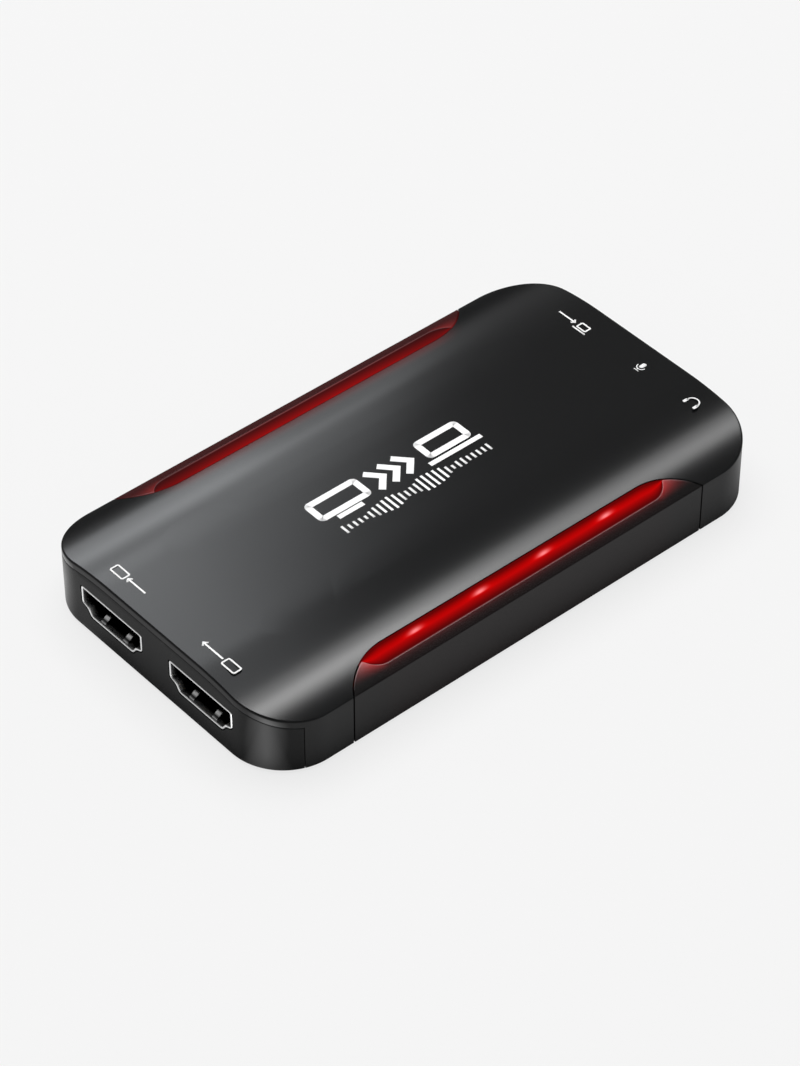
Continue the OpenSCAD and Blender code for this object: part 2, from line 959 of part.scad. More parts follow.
module splitter_chip() {
  color("#191a1c") raised() on_board([receiver_x, video_places[1]])
    leaded_chip(splitter_size, splitter_h, 9, splitter_pitch, 4);
}

// Ball-grid package: a moulded cap on a thin carrier
module grid_chip(size, h) {
  cap = [size[0] - 2 * grid_rim, size[1] - 2 * grid_rim, h];
  translate([-size[0] / 2, -size[1] / 2, 0]) cube([size[0], size[1], grid_carrier]);
  translate([-cap[0] / 2, -cap[1] / 2, 0]) cube(cap);
}

module bridge_chip() {
  color("#191a1c") raised() on_board([bridge_x, bridge_y]) grid_chip([bridge_size, bridge_size], bridge_h);
}

module thermal_pad() {
  color("#7d8fa3") raised() on_board([bridge_x, bridge_y])
    translate([-pad_size / 2, -pad_size / 2, bridge_h]) cube([pad_size, pad_size, pad_t]);
}

// Heat sink: a base with fins up to a little below the ribs of the top shell
module heat_sink() {
  step = (sink_size - fin_t) / (fin_count - 1);
  corner = [-sink_size / 2, -sink_size / 2, bridge_h + pad_t];
  color("#9da1a5") raised() on_board([bridge_x, bridge_y]) translate(corner) {
    cube([sink_size, sink_size, sink_base]);
    for (i = [0 : fin_count - 1]) {
      translate([0, i * step, 0]) cube([sink_size, fin_t, sink_h]);
    }
  }
}

module memory_chip() {
  color("#191a1c") raised() on_board(memory_place) grid_chip(memory_size, memory_h);
}

module flash_chip() {
  color("#191a1c") raised() on_board(flash_place) leaded_chip(flash_size, flash_h, 4, flash_pitch, 2);
}

module sound_chip() {
  color("#191a1c") raised() on_board(sound_place) leaded_chip(sound_size, sound_h, 8, sound_pitch, 2);
}

// Sealed crystal cans: two round ends joined by a straight body
module clock_crystals() {
  color("#b9bcc0") raised() for (p = crystal_places) {
    on_board(p) linear_extrude(crystal_h) {
      square([crystal_l, crystal_w], center = true);
      for (s = [-1, 1]) {
        translate([s * crystal_l / 2, 0]) circle(d = crystal_w);
      }
    }
  }
}

module power_regulators() {
  color("#191a1c") raised() for (s = [-1, 1]) {
    on_board([regulator_x, bridge_y + s * regulator_y])
      leaded_chip(regulator_size, regulator_h, 3, regulator_pitch, 2);
  }
}

// Shielded coils: a square ferrite block round a turned core
module power_coils() {
  color("#4a4743") raised() for (p = coil_places) {
    on_board(p) difference() {
      translate([-coil_size / 2, -coil_size / 2, 0]) cube([coil_size, coil_size, coil_h]);
      translate([0, 0, coil_h - coil_groove]) difference() {
        cylinder(h = coil_groove + overcut, d = coil_ring);
        cylinder(h = coil_groove + overcut, d = coil_core);
      }
    }
  }
}

// Can capacitors on square plastic bases
module bulk_capacitors() {
  color("#a9adb2") raised() for (p = can_places) {
    on_board(p) {
      translate([-can_base / 2, -can_base / 2, 0]) cube([can_base, can_base, can_base_h]);
      cylinder(h = can_h, d = can_d);
    }
  }
}

// Row of small two-ended parts, centred on a place
module chip_row(place, count, pitch, size) {
  for (i = [0 : count - 1]) {
    on_board([place[0] + (i - (count - 1) / 2) * pitch, place[1]])
      translate([-size[0] / 2, -size[1] / 2, 0]) cube(size);
  }
}

module chip_capacitors() {
  y = case_w / 2 - capacitor_side_in;
  color("#b08d62") raised() {
    chip_row([receiver_x, video_shift + video_row_y], 6, capacitor_pitch, capacitor_size);
    chip_row([bridge_x, -y], 8, capacitor_pitch, capacitor_size);
    chip_row([bridge_x, y], 8, capacitor_pitch, capacitor_size);
  }
}

module chip_resistors() {
  color("#26282b") raised() {
    chip_row([receiver_x, video_shift - video_row_y], 7, resistor_pitch, resistor_size);
    chip_row([data_back - resistor_data_in, bridge_y + video_row_y], 3, resistor_pitch, resistor_size);
    chip_row([bridge_x, resistor_side_in - case_w / 2], 6, resistor_pitch, resistor_size);
  }
}

module case_screws() {
  head_z = screw_seat - head_h;
  color("#8b8e92") raised() at_screws() difference() {
    union() {
      translate([0, 0, head_z]) cylinder(h = head_h, d = head_d);
      translate([0, 0, screw_seat]) cylinder(h = board_top + screw_grip - screw_seat, d = screw_d);
    }
    for (a = [0, 90]) {
      translate([0, 0, head_z]) rotate([0, 0, a]) cube([recess_l, recess_w, 2 * recess_h], center = true);
    }
  }
}

// Feet with a small chamfer round the face they stand on
module rubber_feet() {
  color("#1d1d1d") raised() at_screws() rotate_extrude() polygon([
    [0, -foot_proud],
    [foot_d / 2 - foot_chamfer, -foot_proud],
    [foot_d / 2, foot_chamfer - foot_proud],
    [foot_d / 2, foot_sunk],
    [0, foot_sunk]
  ]);
}

top_shell();
bottom_cover();
video_end_panel();
data_end_panel();
near_side_panel();
far_side_panel();
near_light_guide();
far_light_guide();
near_light_board();
far_light_board();
near_light_diodes();
far_light_diodes();
near_light_header();
far_light_header();
main_board();
video_in_shell();
video_in_insulator();
video_in_contacts();
video_out_shell();
video_out_insulator();
video_out_contacts();
data_shell();
data_insulator();
data_contacts();
mic_jack_housing();
mic_jack_springs();
headphone_jack_housing();
headphone_jack_springs();
receiver_chip();
splitter_chip();
bridge_chip();
thermal_pad();
heat_sink();
memory_chip();
flash_chip();
sound_chip();
clock_crystals();
power_regulators();
power_coils();
bulk_capacitors();
chip_capacitors();
chip_resistors();
case_screws();
rubber_feet();
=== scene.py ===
# %% [markdown]
# # A video capture box
# A slim dark box takes a picture signal in at one end, loops it out beside that, and sends it to a
# computer from the other end. Its top rolls over along both long sides, and a smoked panel with a red
# light channel is set flush into each roll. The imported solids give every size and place. This file only
# lays finer skins over the pieces that show, and gives everything its finish.

# %% Load the frame
import bmesh
import bpy
import numpy as np
from mathutils import Matrix, Vector


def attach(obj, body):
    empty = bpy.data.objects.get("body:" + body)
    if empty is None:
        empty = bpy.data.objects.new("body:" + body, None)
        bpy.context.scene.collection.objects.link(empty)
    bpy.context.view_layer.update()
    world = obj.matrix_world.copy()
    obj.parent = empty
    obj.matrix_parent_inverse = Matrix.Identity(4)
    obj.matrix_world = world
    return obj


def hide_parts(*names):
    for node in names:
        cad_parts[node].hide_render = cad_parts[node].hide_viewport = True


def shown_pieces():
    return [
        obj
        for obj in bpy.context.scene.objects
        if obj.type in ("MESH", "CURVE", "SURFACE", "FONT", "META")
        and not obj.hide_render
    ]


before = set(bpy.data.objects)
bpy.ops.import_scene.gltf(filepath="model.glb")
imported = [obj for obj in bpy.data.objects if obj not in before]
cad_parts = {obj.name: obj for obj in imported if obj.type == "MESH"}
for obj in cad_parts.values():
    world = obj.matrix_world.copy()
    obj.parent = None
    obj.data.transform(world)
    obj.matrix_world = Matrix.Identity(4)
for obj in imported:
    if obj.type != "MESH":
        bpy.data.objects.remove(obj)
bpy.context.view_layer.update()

# %% [markdown]
# ## Camera
# The photograph was taken with a long lens from high in front of the corner with the video sockets.
# Place and lens come from fitting the case's edges to the picture, so they are written as numbers.

# %% Camera
camera = bpy.data.objects.new("camera", bpy.data.cameras.new("camera"))
bpy.context.scene.collection.objects.link(camera)
camera.location = (-0.282428, -0.324431, 0.396091)
look = Vector((0.482399, 0.557100, -0.675967))
camera.rotation_euler = look.to_track_quat("-Z", "Y").to_euler()
camera.data.sensor_fit = "HORIZONTAL"
camera.data.sensor_width = 27.017
camera.data.lens = 126.409
camera.data.clip_start = 0.01
bpy.context.scene.camera = camera
bpy.context.scene.view_settings.view_transform = "Standard"
print("camera distance in mm:", round(camera.location.length * 1000))

# %% [markdown]
# ## Grids become meshes
# Every new piece is worked out as one or more grids of points, in millimetres. Grids that meet are
# welded along their shared edge. A sheet that is drawn as one skin gets its thickness from Solidify and
# its softly broken edges from Bevel, as a moulded part has them.

# %% From grids to a piece
MM = 0.001
weld_gap, sliver = 2e-6, 1e-7
sharp_angle, edge_steps, face_weight = np.radians(38), 3, 80
slot_of = {}


def grid_faces(rows, columns, start):
    """Quads of a grid whose points are numbered row by row from start."""
    a = start + np.arange(rows - 1)[:, None] * columns + np.arange(columns - 1)[None, :]
    return np.stack([a, a + 1, a + columns + 1, a + columns], axis=-1).reshape(-1, 4)


def piece(name, grids, inside, slot, nodes=(), wall=0.0, edge=0.0):
    """Welds grids of points into one mesh whose faces look away from the point inside.
    wall is the thickness added inwards and edge the rounding of every sharp edge."""
    points = np.concatenate([g.reshape(-1, 3) for g in grids]) * MM
    sizes = [g.shape[0] * g.shape[1] for g in grids]
    starts = np.concatenate([[0], np.cumsum(sizes)[:-1]])
    faces = np.concatenate([grid_faces(g.shape[0], g.shape[1], s) for g, s in zip(grids, starts)])
    mesh = bpy.data.meshes.new(name)
    mesh.from_pydata(points.tolist(), [], faces.tolist())
    weld = bmesh.new()
    weld.from_mesh(mesh)
    bmesh.ops.remove_doubles(weld, verts=weld.verts, dist=weld_gap)
    bmesh.ops.dissolve_degenerate(weld, edges=weld.edges, dist=sliver)
    bmesh.ops.recalc_face_normals(weld, faces=weld.faces)
    weld.to_mesh(mesh)
    weld.free()
    count = len(mesh.polygons)
    normal, centre, area = np.zeros(count * 3), np.zeros(count * 3), np.zeros(count)
    mesh.polygons.foreach_get("normal", normal)
    mesh.polygons.foreach_get("center", centre)
    mesh.polygons.foreach_get("area", area)
    away = (normal.reshape(-1, 3) * (centre.reshape(-1, 3) - np.array(inside) * MM)).sum(axis=1)
    if (away * area).sum() < 0:
        mesh.flip_normals()
    mesh.shade_smooth()
    obj = bpy.data.objects.new(name, mesh)
    bpy.context.scene.collection.objects.link(obj)
    if wall:
        solid = obj.modifiers.new("wall", "SOLIDIFY")
        solid.thickness = wall * MM
        solid.offset = -1
        solid.use_even_offset = True
    if edge:
        soft = obj.modifiers.new("edge", "BEVEL")
        soft.width = edge * MM
        soft.segments = edge_steps
        soft.limit_method = "ANGLE"
        soft.angle_limit = sharp_angle
        soft.use_clamp_overlap = True
    if wall or edge:
        obj.modifiers.new("shading", "WEIGHTED_NORMAL").weight = face_weight
    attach(obj, "root")
    slot_of[name] = slot
    if nodes:
        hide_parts(*nodes)
    print(name, "faces:", count)
    return obj


# %% [markdown]
# ## The form of the case
# From above the case is a rectangle with round corners. Across its width it is flat in the middle and
# falls away along each long side in an arc, which meets the upright wall at a crease. A block with
# bevels would lose that crease. One height function and one plan line keep it, and are enough for
# every outer piece.

# %% Sizes of the case
case_l, case_w, case_h = 100.4, 57.2, 12.6
wall_h, roll_run, corner_r = 9.3, 18.0, 10.0
foot_proud, ink_room = 0.6, 0.02
roll_h = case_h - wall_h
roll_r = (roll_run**2 + roll_h**2) / (2 * roll_h)
turn_x, turn_y = case_l / 2 - corner_r, case_w / 2 - corner_r
panel_x0, panel_x1 = -35.1, 35.7
panel_reach, panel_end_r = 5.1, 11.5
panel_rim, video_wrap, data_half = 1.2, 6.3, 23.0


def top_z(y):
    """Height of the skin: the flat top, or the arc of radius roll_r that is tangent to it."""
    dip = np.clip(roll_run - (case_w / 2 - np.abs(y)), 0, None)
    return foot_proud - ink_room + case_h - roll_r + np.sqrt(roll_r**2 - dip**2)


def end_line(end, seam_x, cut):
    """Plan line of the wall round one end, from the near panel seam to the far one, with its outward
    direction: straight, quarter turn, straight, quarter turn, straight. cut is an angle in degrees
    that the quarter turns have a point at."""
    turn = np.radians(np.union1d(np.linspace(0, 90, 31), [cut]))
    side = np.linspace(abs(seam_x), turn_x, 14)[:-1]
    x = np.concatenate([side, turn_x + corner_r * np.sin(turn)])
    y = np.concatenate([np.full(side.size, -case_w / 2), -turn_y - corner_r * np.cos(turn)])
    out_x = np.concatenate([np.zeros(side.size), np.sin(turn)])
    out_y = np.concatenate([np.full(side.size, -1.0), -np.cos(turn)])
    flat = np.linspace(-turn_y, turn_y, 40)[1:-1]
    x = np.concatenate([x, np.full(flat.size, case_l / 2), x[::-1]]) * end
    y = np.concatenate([y, flat, -y[::-1]])
    out_x = np.concatenate([out_x, np.ones(flat.size), out_x[::-1]]) * end
    out_y = np.concatenate([out_y, np.zeros(flat.size), -out_y[::-1]])
    return np.stack([x, y], -1), np.stack([out_x, out_y], -1)


video_cut = np.degrees(np.arcsin((case_l / 2 - video_wrap - turn_x) / corner_r))
data_cut = np.degrees(np.arccos((data_half - turn_y) / corner_r))
seam_half = 0.13
video_line, video_out = end_line(-1, panel_x0 - seam_half, video_cut)
data_line, data_out = end_line(1, panel_x1 + seam_half, data_cut)
print("top at", round(float(top_z(0.0)), 2), "crease at", round(float(top_z(case_w / 2)), 2))

# %% [markdown]
# ## Where the side panels end
# Seen from above, a side panel is a D: a straight line parallel to the long side, with an arc down to
# the wall at both ends. The case has the same outline, a hair larger, so a thin dark seam is left. A
# boolean cut would leave ragged faces there, so both sides of the seam are drawn from one formula.

# %% Panel outline
panel_run = np.sqrt(2 * panel_reach * panel_end_r - panel_reach**2)
arc_x0, arc_x1 = panel_x0 + panel_run, panel_x1 - panel_run


def panel_edge(x, grow):
    """How far in from the long side the panel's outline lies: straight, or an arc at either end."""
    past = np.clip(arc_x0 - x, 0, None) + np.clip(x - arc_x1, 0, None)
    r = panel_end_r + grow
    return panel_reach - panel_end_r + np.sqrt(np.clip(r**2 - past**2, 0, None))


def panel_columns(grow, lowest, count=40, straight=40):
    """Places along the panel, closer together in the arcs. At the first and the last of them, the outline
    is only lowest deep."""
    r = panel_end_r + grow
    reach = np.sqrt(r**2 - (panel_end_r - panel_reach + lowest) ** 2)
    bend = np.sin(np.linspace(0, np.arcsin(reach / r), count)) * r
    middle = np.linspace(arc_x0, arc_x1, straight)[1:-1]
    return np.concatenate([arc_x0 - bend[::-1], middle, arc_x1 + bend])


print("panel arcs start at x:", round(arc_x0, 2), "and", round(arc_x1, 2))

# %% [markdown]
# ## Top shell
# The real shell is one moulding. Its skin is made here in three kinds of grid: the top runs from the
# outline in to the middle line, a narrow strip rounds the edge over into the wall, and the wall goes
# down to the base, with openings left for the end panels. A sculpted block could look alike, but here
# rows lie close together just where the form bends.

# %% Grids of the top shell
crease_soft, end_soft = 0.13, 0.2


def inset_of(out):
    """Width of the rounded edge: a little more at the ends than along the crease."""
    return crease_soft + end_soft * np.abs(out[:, 0])


def shell_edge(line, out):
    """Rounded edge: a curve from the top through the corner into the wall, at each point of the line."""
    f = inset_of(out)[None, :, None]
    t = np.linspace(0, 1, 7)[:, None, None]
    start = line - out * f[0]
    top = np.concatenate([start, top_z(start[:, 1])[:, None]], 1)
    corner = np.concatenate([line, top_z(line[:, 1])[:, None]], 1)
    low = corner - f[0] * np.array([0, 0, 1.0])
    return (1 - t) ** 2 * top + 2 * t * (1 - t) * corner + t**2 * low


def upright(line, low, high, rows=2):
    """Wall between two heights over a plan line."""
    t = np.linspace(0, 1, rows)[:, None]
    z = low * (1 - t) + high * t
    return np.concatenate([np.broadcast_to(line, (rows,) + line.shape), z[:, :, None]], 2)


def shell_end(line, out, panel):
    """Rounded edge, rim strip above the end panel, and the walls on both sides of it, for one end."""
    z = top_z(line[:, 1])
    rim = z - panel_rim
    base = np.full(z.size, foot_proud)
    first, last = np.flatnonzero(panel)[[0, -1]]
    left, right = slice(0, first + 1), slice(last, z.size)
    return [
        shell_edge(line, out),
        upright(line, rim, z - inset_of(out)),
        upright(line[left], base[left], rim[left]),
        upright(line[right], base[right], rim[right]),
    ]


def shell_top():
    """Top from its outline to the middle line: each outline point moves towards half its own x."""
    xs = panel_columns(seam_half, crease_soft)
    near = np.stack([xs, panel_edge(xs, seam_half) - case_w / 2], 1)
    data = data_line - data_out * inset_of(data_out)[:, None]
    video = video_line - video_out * inset_of(video_out)[:, None]
    loop = np.concatenate([near, data, near[::-1] * [1, -1], video[::-1], near[:1]])
    s = np.concatenate([[0, 0.002], np.linspace(0.006, 0.45, 44), np.linspace(0.45, 1, 7)[1:]])[:, None]
    x = loop[:, 0] * (1 - 0.5 * s)
    y = loop[:, 1] * (1 - s)
    return np.stack([x, y, top_z(y)], -1)


# %% Top shell
video_panel = np.abs(video_line[:, 0]) > case_l / 2 - video_wrap - 1e-6
data_panel = (np.abs(data_line[:, 1]) < data_half + 1e-6) & (data_line[:, 0] > turn_x)
shell_grids = [shell_top()]
shell_grids += shell_end(video_line, video_out, video_panel)
shell_grids += shell_end(data_line, data_out, data_panel)
top_skin = piece("top_skin", shell_grids, (0, 0, 3), "case_plastic", ["top_shell"], wall=0.7, edge=0.07)

# %% [markdown]
# ## Side panels
# Each panel is smoked plastic that carries the D on over the roll. A long window is cut into it for the
# light channel. From below, the window starts at a straight rim and turns up in an arc at both ends
# until it meets the seam, so the panel's upper edge is simply the lower of two curves. Solidify makes
# the wall, thick enough to close the seam to a view from above.

# %% Side panels
light_x0, light_x1, light_rim, light_end_r = -26.7, 27.2, 1.8, 3.9
panel_gap, no_window = 0.11, 99.0


def window_edge(x):
    """How far in from the long side the window starts: the rim, or an arc that turns up at an end."""
    past = np.clip(light_x0 - x, 0, None) + np.clip(x - light_x1, 0, None)
    rise = light_end_r - np.sqrt(np.clip(light_end_r**2 - past**2, 0, None))
    return np.where(past < light_end_r, light_rim + rise, no_window)


def panel_grids(side):
    """Wall, rounded crease and roll of one side panel, column by column along its length."""
    xs = panel_columns(-panel_gap, 0.001, 90)
    top = np.minimum(panel_edge(xs, -panel_gap), window_edge(xs))
    f = np.minimum(crease_soft, top * 0.5)
    t = np.linspace(0, 1, 6)[:, None]
    crease = top_z(case_w / 2)
    low_z, high_d = crease - f, f
    high_z = top_z(case_w / 2 - high_d)
    bend_d = t**2 * high_d
    bend_z = (1 - t) ** 2 * low_z + 2 * t * (1 - t) * crease + t**2 * high_z
    s = np.linspace(0, 1, 22)[1:, None]
    roll_d = high_d + (top - high_d) * s
    d = np.concatenate([np.zeros((1, xs.size)), bend_d, roll_d])
    z = np.concatenate([np.full((1, xs.size), foot_proud), bend_z, top_z(case_w / 2 - roll_d)])
    return np.stack([np.broadcast_to(xs, d.shape), side * (case_w / 2 - d), z], -1)


def side_skin(name, side):
    """Skin of the side panel on the near side, -1, or on the far side, 1."""
    grids, nodes = [panel_grids(side)], [name + "_side_panel"]
    return piece(name + "_side_skin", grids, (0, 0, 4), "smoked_plastic", nodes, wall=1.4, edge=0.06)


near_panel, far_panel = side_skin("near", -1), side_skin("far", 1)

# %% [markdown]
# ## Light channels
# A red guide fills each window. Its face falls gently from the rim to a valley and climbs steeply to the
# seam, and it runs out to nothing at both ends. A groove that is cut and bevelled would not run out so
# evenly, so the valley is worked out as a soft minimum of two slopes.

# %% Light guides
valley_in, valley_depth, valley_soft = 4.4, 1.0, 0.06
full_width, rim_clear, guide_below = 2.9, 0.02, 0.06
diode_middle, diode_pitch = -0.15, 12.9
diode_x = diode_middle + diode_pitch * np.array([-1.5, -0.5, 0.5, 1.5])


def channel_grid(side):
    """Face of a light guide. Across it, the depth is the softened lower of two straight slopes."""
    xs = panel_columns(-panel_gap, 0.3, 160, 200)
    low, high = window_edge(xs) + rim_clear, panel_edge(xs, -panel_gap)
    inside = high > low
    xs, low, high = xs[inside], low[inside], high[inside]
    t = np.linspace(0, 1, 61)[:, None]
    valley = (valley_in - light_rim) / (panel_reach - light_rim)
    a, b, k = t / valley, (1 - t) / (1 - valley), valley_soft
    slope = -k * np.log(np.exp(-a / k) + np.exp(-b / k))
    depth = valley_depth * np.clip((high - low) / full_width, 0, 1) * np.clip(slope, 0, None)
    d = low + (high - low) * t
    z = top_z(case_w / 2 - d) - guide_below - depth
    return np.stack([np.broadcast_to(xs, d.shape), side * (case_w / 2 - d), z], -1)


def guide_skin(name, side):
    """Light guide of the near side, -1, or of the far side, 1."""
    grids, nodes = [channel_grid(side)], [name + "_light_guide"]
    return piece(name + "_light_channel", grids, (0, 0, 0), "red_guide", nodes, wall=0.8)


near_guide, far_guide = guide_skin("near", -1), guide_skin("far", 1)

# %% [markdown]
# ## End panels
# An end panel is a strip of the wall that follows the plan line, so it is drawn in two coordinates: the
# way along the line and the height. Round each socket, rays from its middle carry the outline of the
# hole out to a rectangle, and plain strips fill what is left between the rectangles. A boolean would cut
# the holes too, but rays leave clean quads, which take a bevel well.

# %% Outlines of the sockets
video_y, video_z = (9.9, -11.4), 3.9
data_y, data_z, data_size = 10.8, 3.4, (13.1, 5.7)
jack_y, jack_z = (-4.4, -16.0), 7.4
video_sink, data_sink = 1.0, 1.5
tiny, slack, far_off = 1e-12, 1e-6, 1e9


def rounded(corners, radius, steps=7):
    """Closed outline with each corner replaced by a curve that starts and ends radius away from it."""
    c = np.array(corners, float)
    back, on = np.roll(c, 1, 0) - c, np.roll(c, -1, 0) - c
    back /= np.linalg.norm(back, axis=1)[:, None]
    on /= np.linalg.norm(on, axis=1)[:, None]
    t = np.linspace(0, 1, steps)[None, :, None]
    before, after = (c + back * radius)[:, None], (c + on * radius)[:, None]
    return ((1 - t) ** 2 * before + 2 * t * (1 - t) * c[:, None] + t**2 * after).reshape(-1, 2)


def video_corners(g):
    """Corners of a video socket at an inset g: wide and square above, pinched to a narrow foot below."""
    half = [(7.35 - g, 5.2 - g), (7.35 - g, 1.8 + 0.4 * g), (5.9 - 0.6 * g, 1.22 + g), (5.1 - 0.6 * g, g)]
    return half + [(-y, z) for y, z in half[::-1]]


def box_corners(w, h):
    """Corners of an upright rectangle standing on the middle of its lower edge."""
    return [(w / 2, h), (w / 2, 0), (-w / 2, 0), (-w / 2, h)]


def ray_hits(outline, centre, targets):
    """Where rays from the centre to the targets cross a closed outline."""
    a = outline - centre
    b = np.roll(a, -1, 0) - a
    r = targets - centre
    cross = r[:, None, 0] * b[None, :, 1] - r[:, None, 1] * b[None, :, 0]
    cross = np.where(np.abs(cross) < tiny, tiny, cross)
    along = (a[None, :, 0] * b[None, :, 1] - a[None, :, 1] * b[None, :, 0]) / cross
    share = (a[None, :, 0] * r[:, None, 1] - a[None, :, 1] * r[:, None, 0]) / cross
    good = (along > 0) & (share > -slack) & (share < 1 + slack)
    return centre + r * np.where(good, along, far_off).min(axis=1)[:, None]


print("sockets:", len(video_y) + 1, "jacks:", len(jack_y))

# %% Grids of an end panel
height_steps = np.linspace(0, 1, 25)


def wall_place(s, end):
    """x and y of the plan line at distance s along it from the middle of an end."""
    past = np.clip(np.abs(s) - turn_y, 0, None) / corner_r
    x = turn_x + corner_r * np.cos(past)
    y = np.sign(s) * (np.minimum(np.abs(s), turn_y) + corner_r * np.sin(past))
    return end * x, y


def on_panel(s, share, end):
    """Points of an end panel: share 0 is the base and share 1 the seam below the rim."""
    x, y = wall_place(s, end)
    high = top_z(y) - panel_rim - panel_gap
    return np.stack([x, y, foot_proud + (high - foot_proud) * share], -1)


def strip(s0, s1, end):
    """Plain part of an end panel between two places along the wall."""
    s = np.linspace(s0, s1, max(3, int(abs(s1 - s0) / 0.5)))
    return on_panel(s[None, :] + 0 * height_steps[:, None], height_steps[:, None] + 0 * s[None, :], end)


def holed(s0, s1, outline, centre, end):
    """Part of an end panel round a hole: straight rays from the hole's outline to a rectangle."""
    wide, up = np.linspace(s0, s1, 41), height_steps[1:]
    s = np.concatenate([wide, np.full(up.size, s1), wide[::-1][1:], np.full(up.size, s0)])
    share = np.concatenate([0 * wide, up, np.ones(wide.size - 1), height_steps[::-1][1:]])
    outer = on_panel(s, share, end)
    hole = ray_hits(outline, np.array(centre), outer[:, 1:])
    inner = np.concatenate([wall_place(hole[:, 0], end)[0][:, None], hole], 1)
    v = np.array([0, 0.05, 0.3, 0.65, 1])[:, None, None]
    return inner * (1 - v) + outer * v


# %% End panels
hole_gap, video_block, jack_block, data_block = 0.15, 8.6, 4.4, 8.2
video_mid, data_mid, nose_hole_r = 2.9, 2.85, 2.65
video_end_s = turn_y + corner_r * np.radians(90 - video_cut) - panel_gap
data_end_s = turn_y + corner_r * np.radians(90 - data_cut) - panel_gap
circle = np.linspace(0, 2 * np.pi, 97)[:-1]


def end_skin(name, holes, end_s, end):
    """Skin of one end panel, from -end_s to end_s along the wall. A hole is given by its place, half the
    width of the rectangle round it, its outline and its middle."""
    grids, last = [], -end_s
    for y, half, hole, middle in holes:
        grids += [strip(last, y - half, end), holed(y - half, y + half, hole, middle, end)]
        last = y + half
    grids.append(strip(last, end_s, end))
    nodes = [name + "_end_panel"]
    return piece(name + "_end_skin", grids, (0, 0, 6), "panel_plastic", nodes, wall=0.9, edge=0.06)


video_hole = rounded(video_corners(-hole_gap), 0.5)
video_holes = []
for y in sorted(video_y):
    video_holes.append((y, video_block, video_hole + [y, video_z], (y, video_z + video_mid)))
video_face = end_skin("video", video_holes, video_end_s, -1)
nose_hole = np.stack([np.cos(circle), np.sin(circle)], 1) * nose_hole_r
data_holes = [(y, jack_block, nose_hole + [y, jack_z], (y, jack_z)) for y in sorted(jack_y)]
data_hole = rounded(box_corners(data_size[0] + 2 * hole_gap, data_size[1] + 2 * hole_gap), 0.3)
data_hole = data_hole + [data_y, data_z - hole_gap]
data_holes.append((data_y, data_block, data_hole, (data_y, data_z + data_mid)))
data_face = end_skin("data", data_holes, data_end_s, 1)

# %% [markdown]
# ## Sockets
# A socket's shell is sheet metal folded round a former, so it is one closed section carried round the
# outline: in along the inside, round the front rim and back along the outside. Its spring tabs and
# board legs are straps of the same sheet. A curve with a bevel could carry the section too, but not one
# whose corners get tighter towards the inside.

# %% Sheet metal
video_front, data_front = -case_l / 2, case_l / 2


def video_outline(g):
    """Outline of a video socket's sheet at an inset g."""
    return rounded(video_corners(g), 0.55 - 0.6 * g)


def data_outline(g):
    """Outline of the data socket's sheet at an inset g."""
    corners = np.array(box_corners(data_size[0] - 2 * g, data_size[1] - 2 * g)) + [0, g]
    return rounded(corners, 0.5 - g)


def sleeve(outline, place, sheet, depth, front, facing):
    """Folded sheet. outline(g) is the outline at an inset g, moved to a place. The section is outer face,
    round rim, inner face, and the way back to its start, so the sheet is closed."""
    turn = np.linspace(-np.pi / 2, np.pi / 2, 9)
    back = np.array([depth, depth * 0.5, depth * 0.1])
    deep = np.concatenate([back, sheet / 2 * (1 - np.cos(turn)), back[::-1], back[:1]])
    inset = np.concatenate([0 * back, sheet / 2 * (1 + np.sin(turn)), sheet + 0 * back, [0]])
    rows = np.stack([outline(g) for g in inset]) + np.array(place)
    rows = np.concatenate([rows, rows[:, :1]], 1)
    x = np.broadcast_to((front - facing * deep)[:, None], rows.shape[:2])
    return np.concatenate([x[:, :, None], rows], 2)


def strap(path, across, width, thick):
    """Bar whose section is a rectangle with round corners, carried along a path. across is the
    direction of its width. Both ends close on the path."""
    path, across = np.array(path, float), np.array(across, float)
    along = np.gradient(path, axis=0)
    along /= np.linalg.norm(along, axis=1)[:, None]
    up = np.cross(along, across)
    w, t = width / 2, thick / 2
    soft = 0.3 * min(width, thick)
    section = rounded([(w, t), (w, -t), (-w, -t), (-w, t)], soft, 5)
    section = np.concatenate([section, section[:1]])
    size = np.ones(len(path) + 4)
    size[[0, -1]], size[[1, -2]] = 0, 1 - soft / min(width, thick)
    stop = np.concatenate([[0, 0], np.arange(len(path)), [-1, -1]]).astype(int)
    p, u = path[stop], up[stop]
    flat = section[None, :, :1] * across + section[None, :, 1:] * u[:, None]
    return p[:, None] + size[:, None, None] * flat


def tab_path(front, facing, y, z, up):
    """Line of a pressed spring tab: flat on the sheet, up over a steep front, and slowly back down."""
    deep = np.array([0.4, 0.6, 0.85, 1.15, 1.45, 1.8, 2.4, 3.4])
    lift = np.array([0.0, 0.03, 0.15, 0.42, 0.60, 0.65, 0.55, 0.2])
    return np.stack([front - facing * deep, np.full(deep.size, y), z + up * lift], 1)


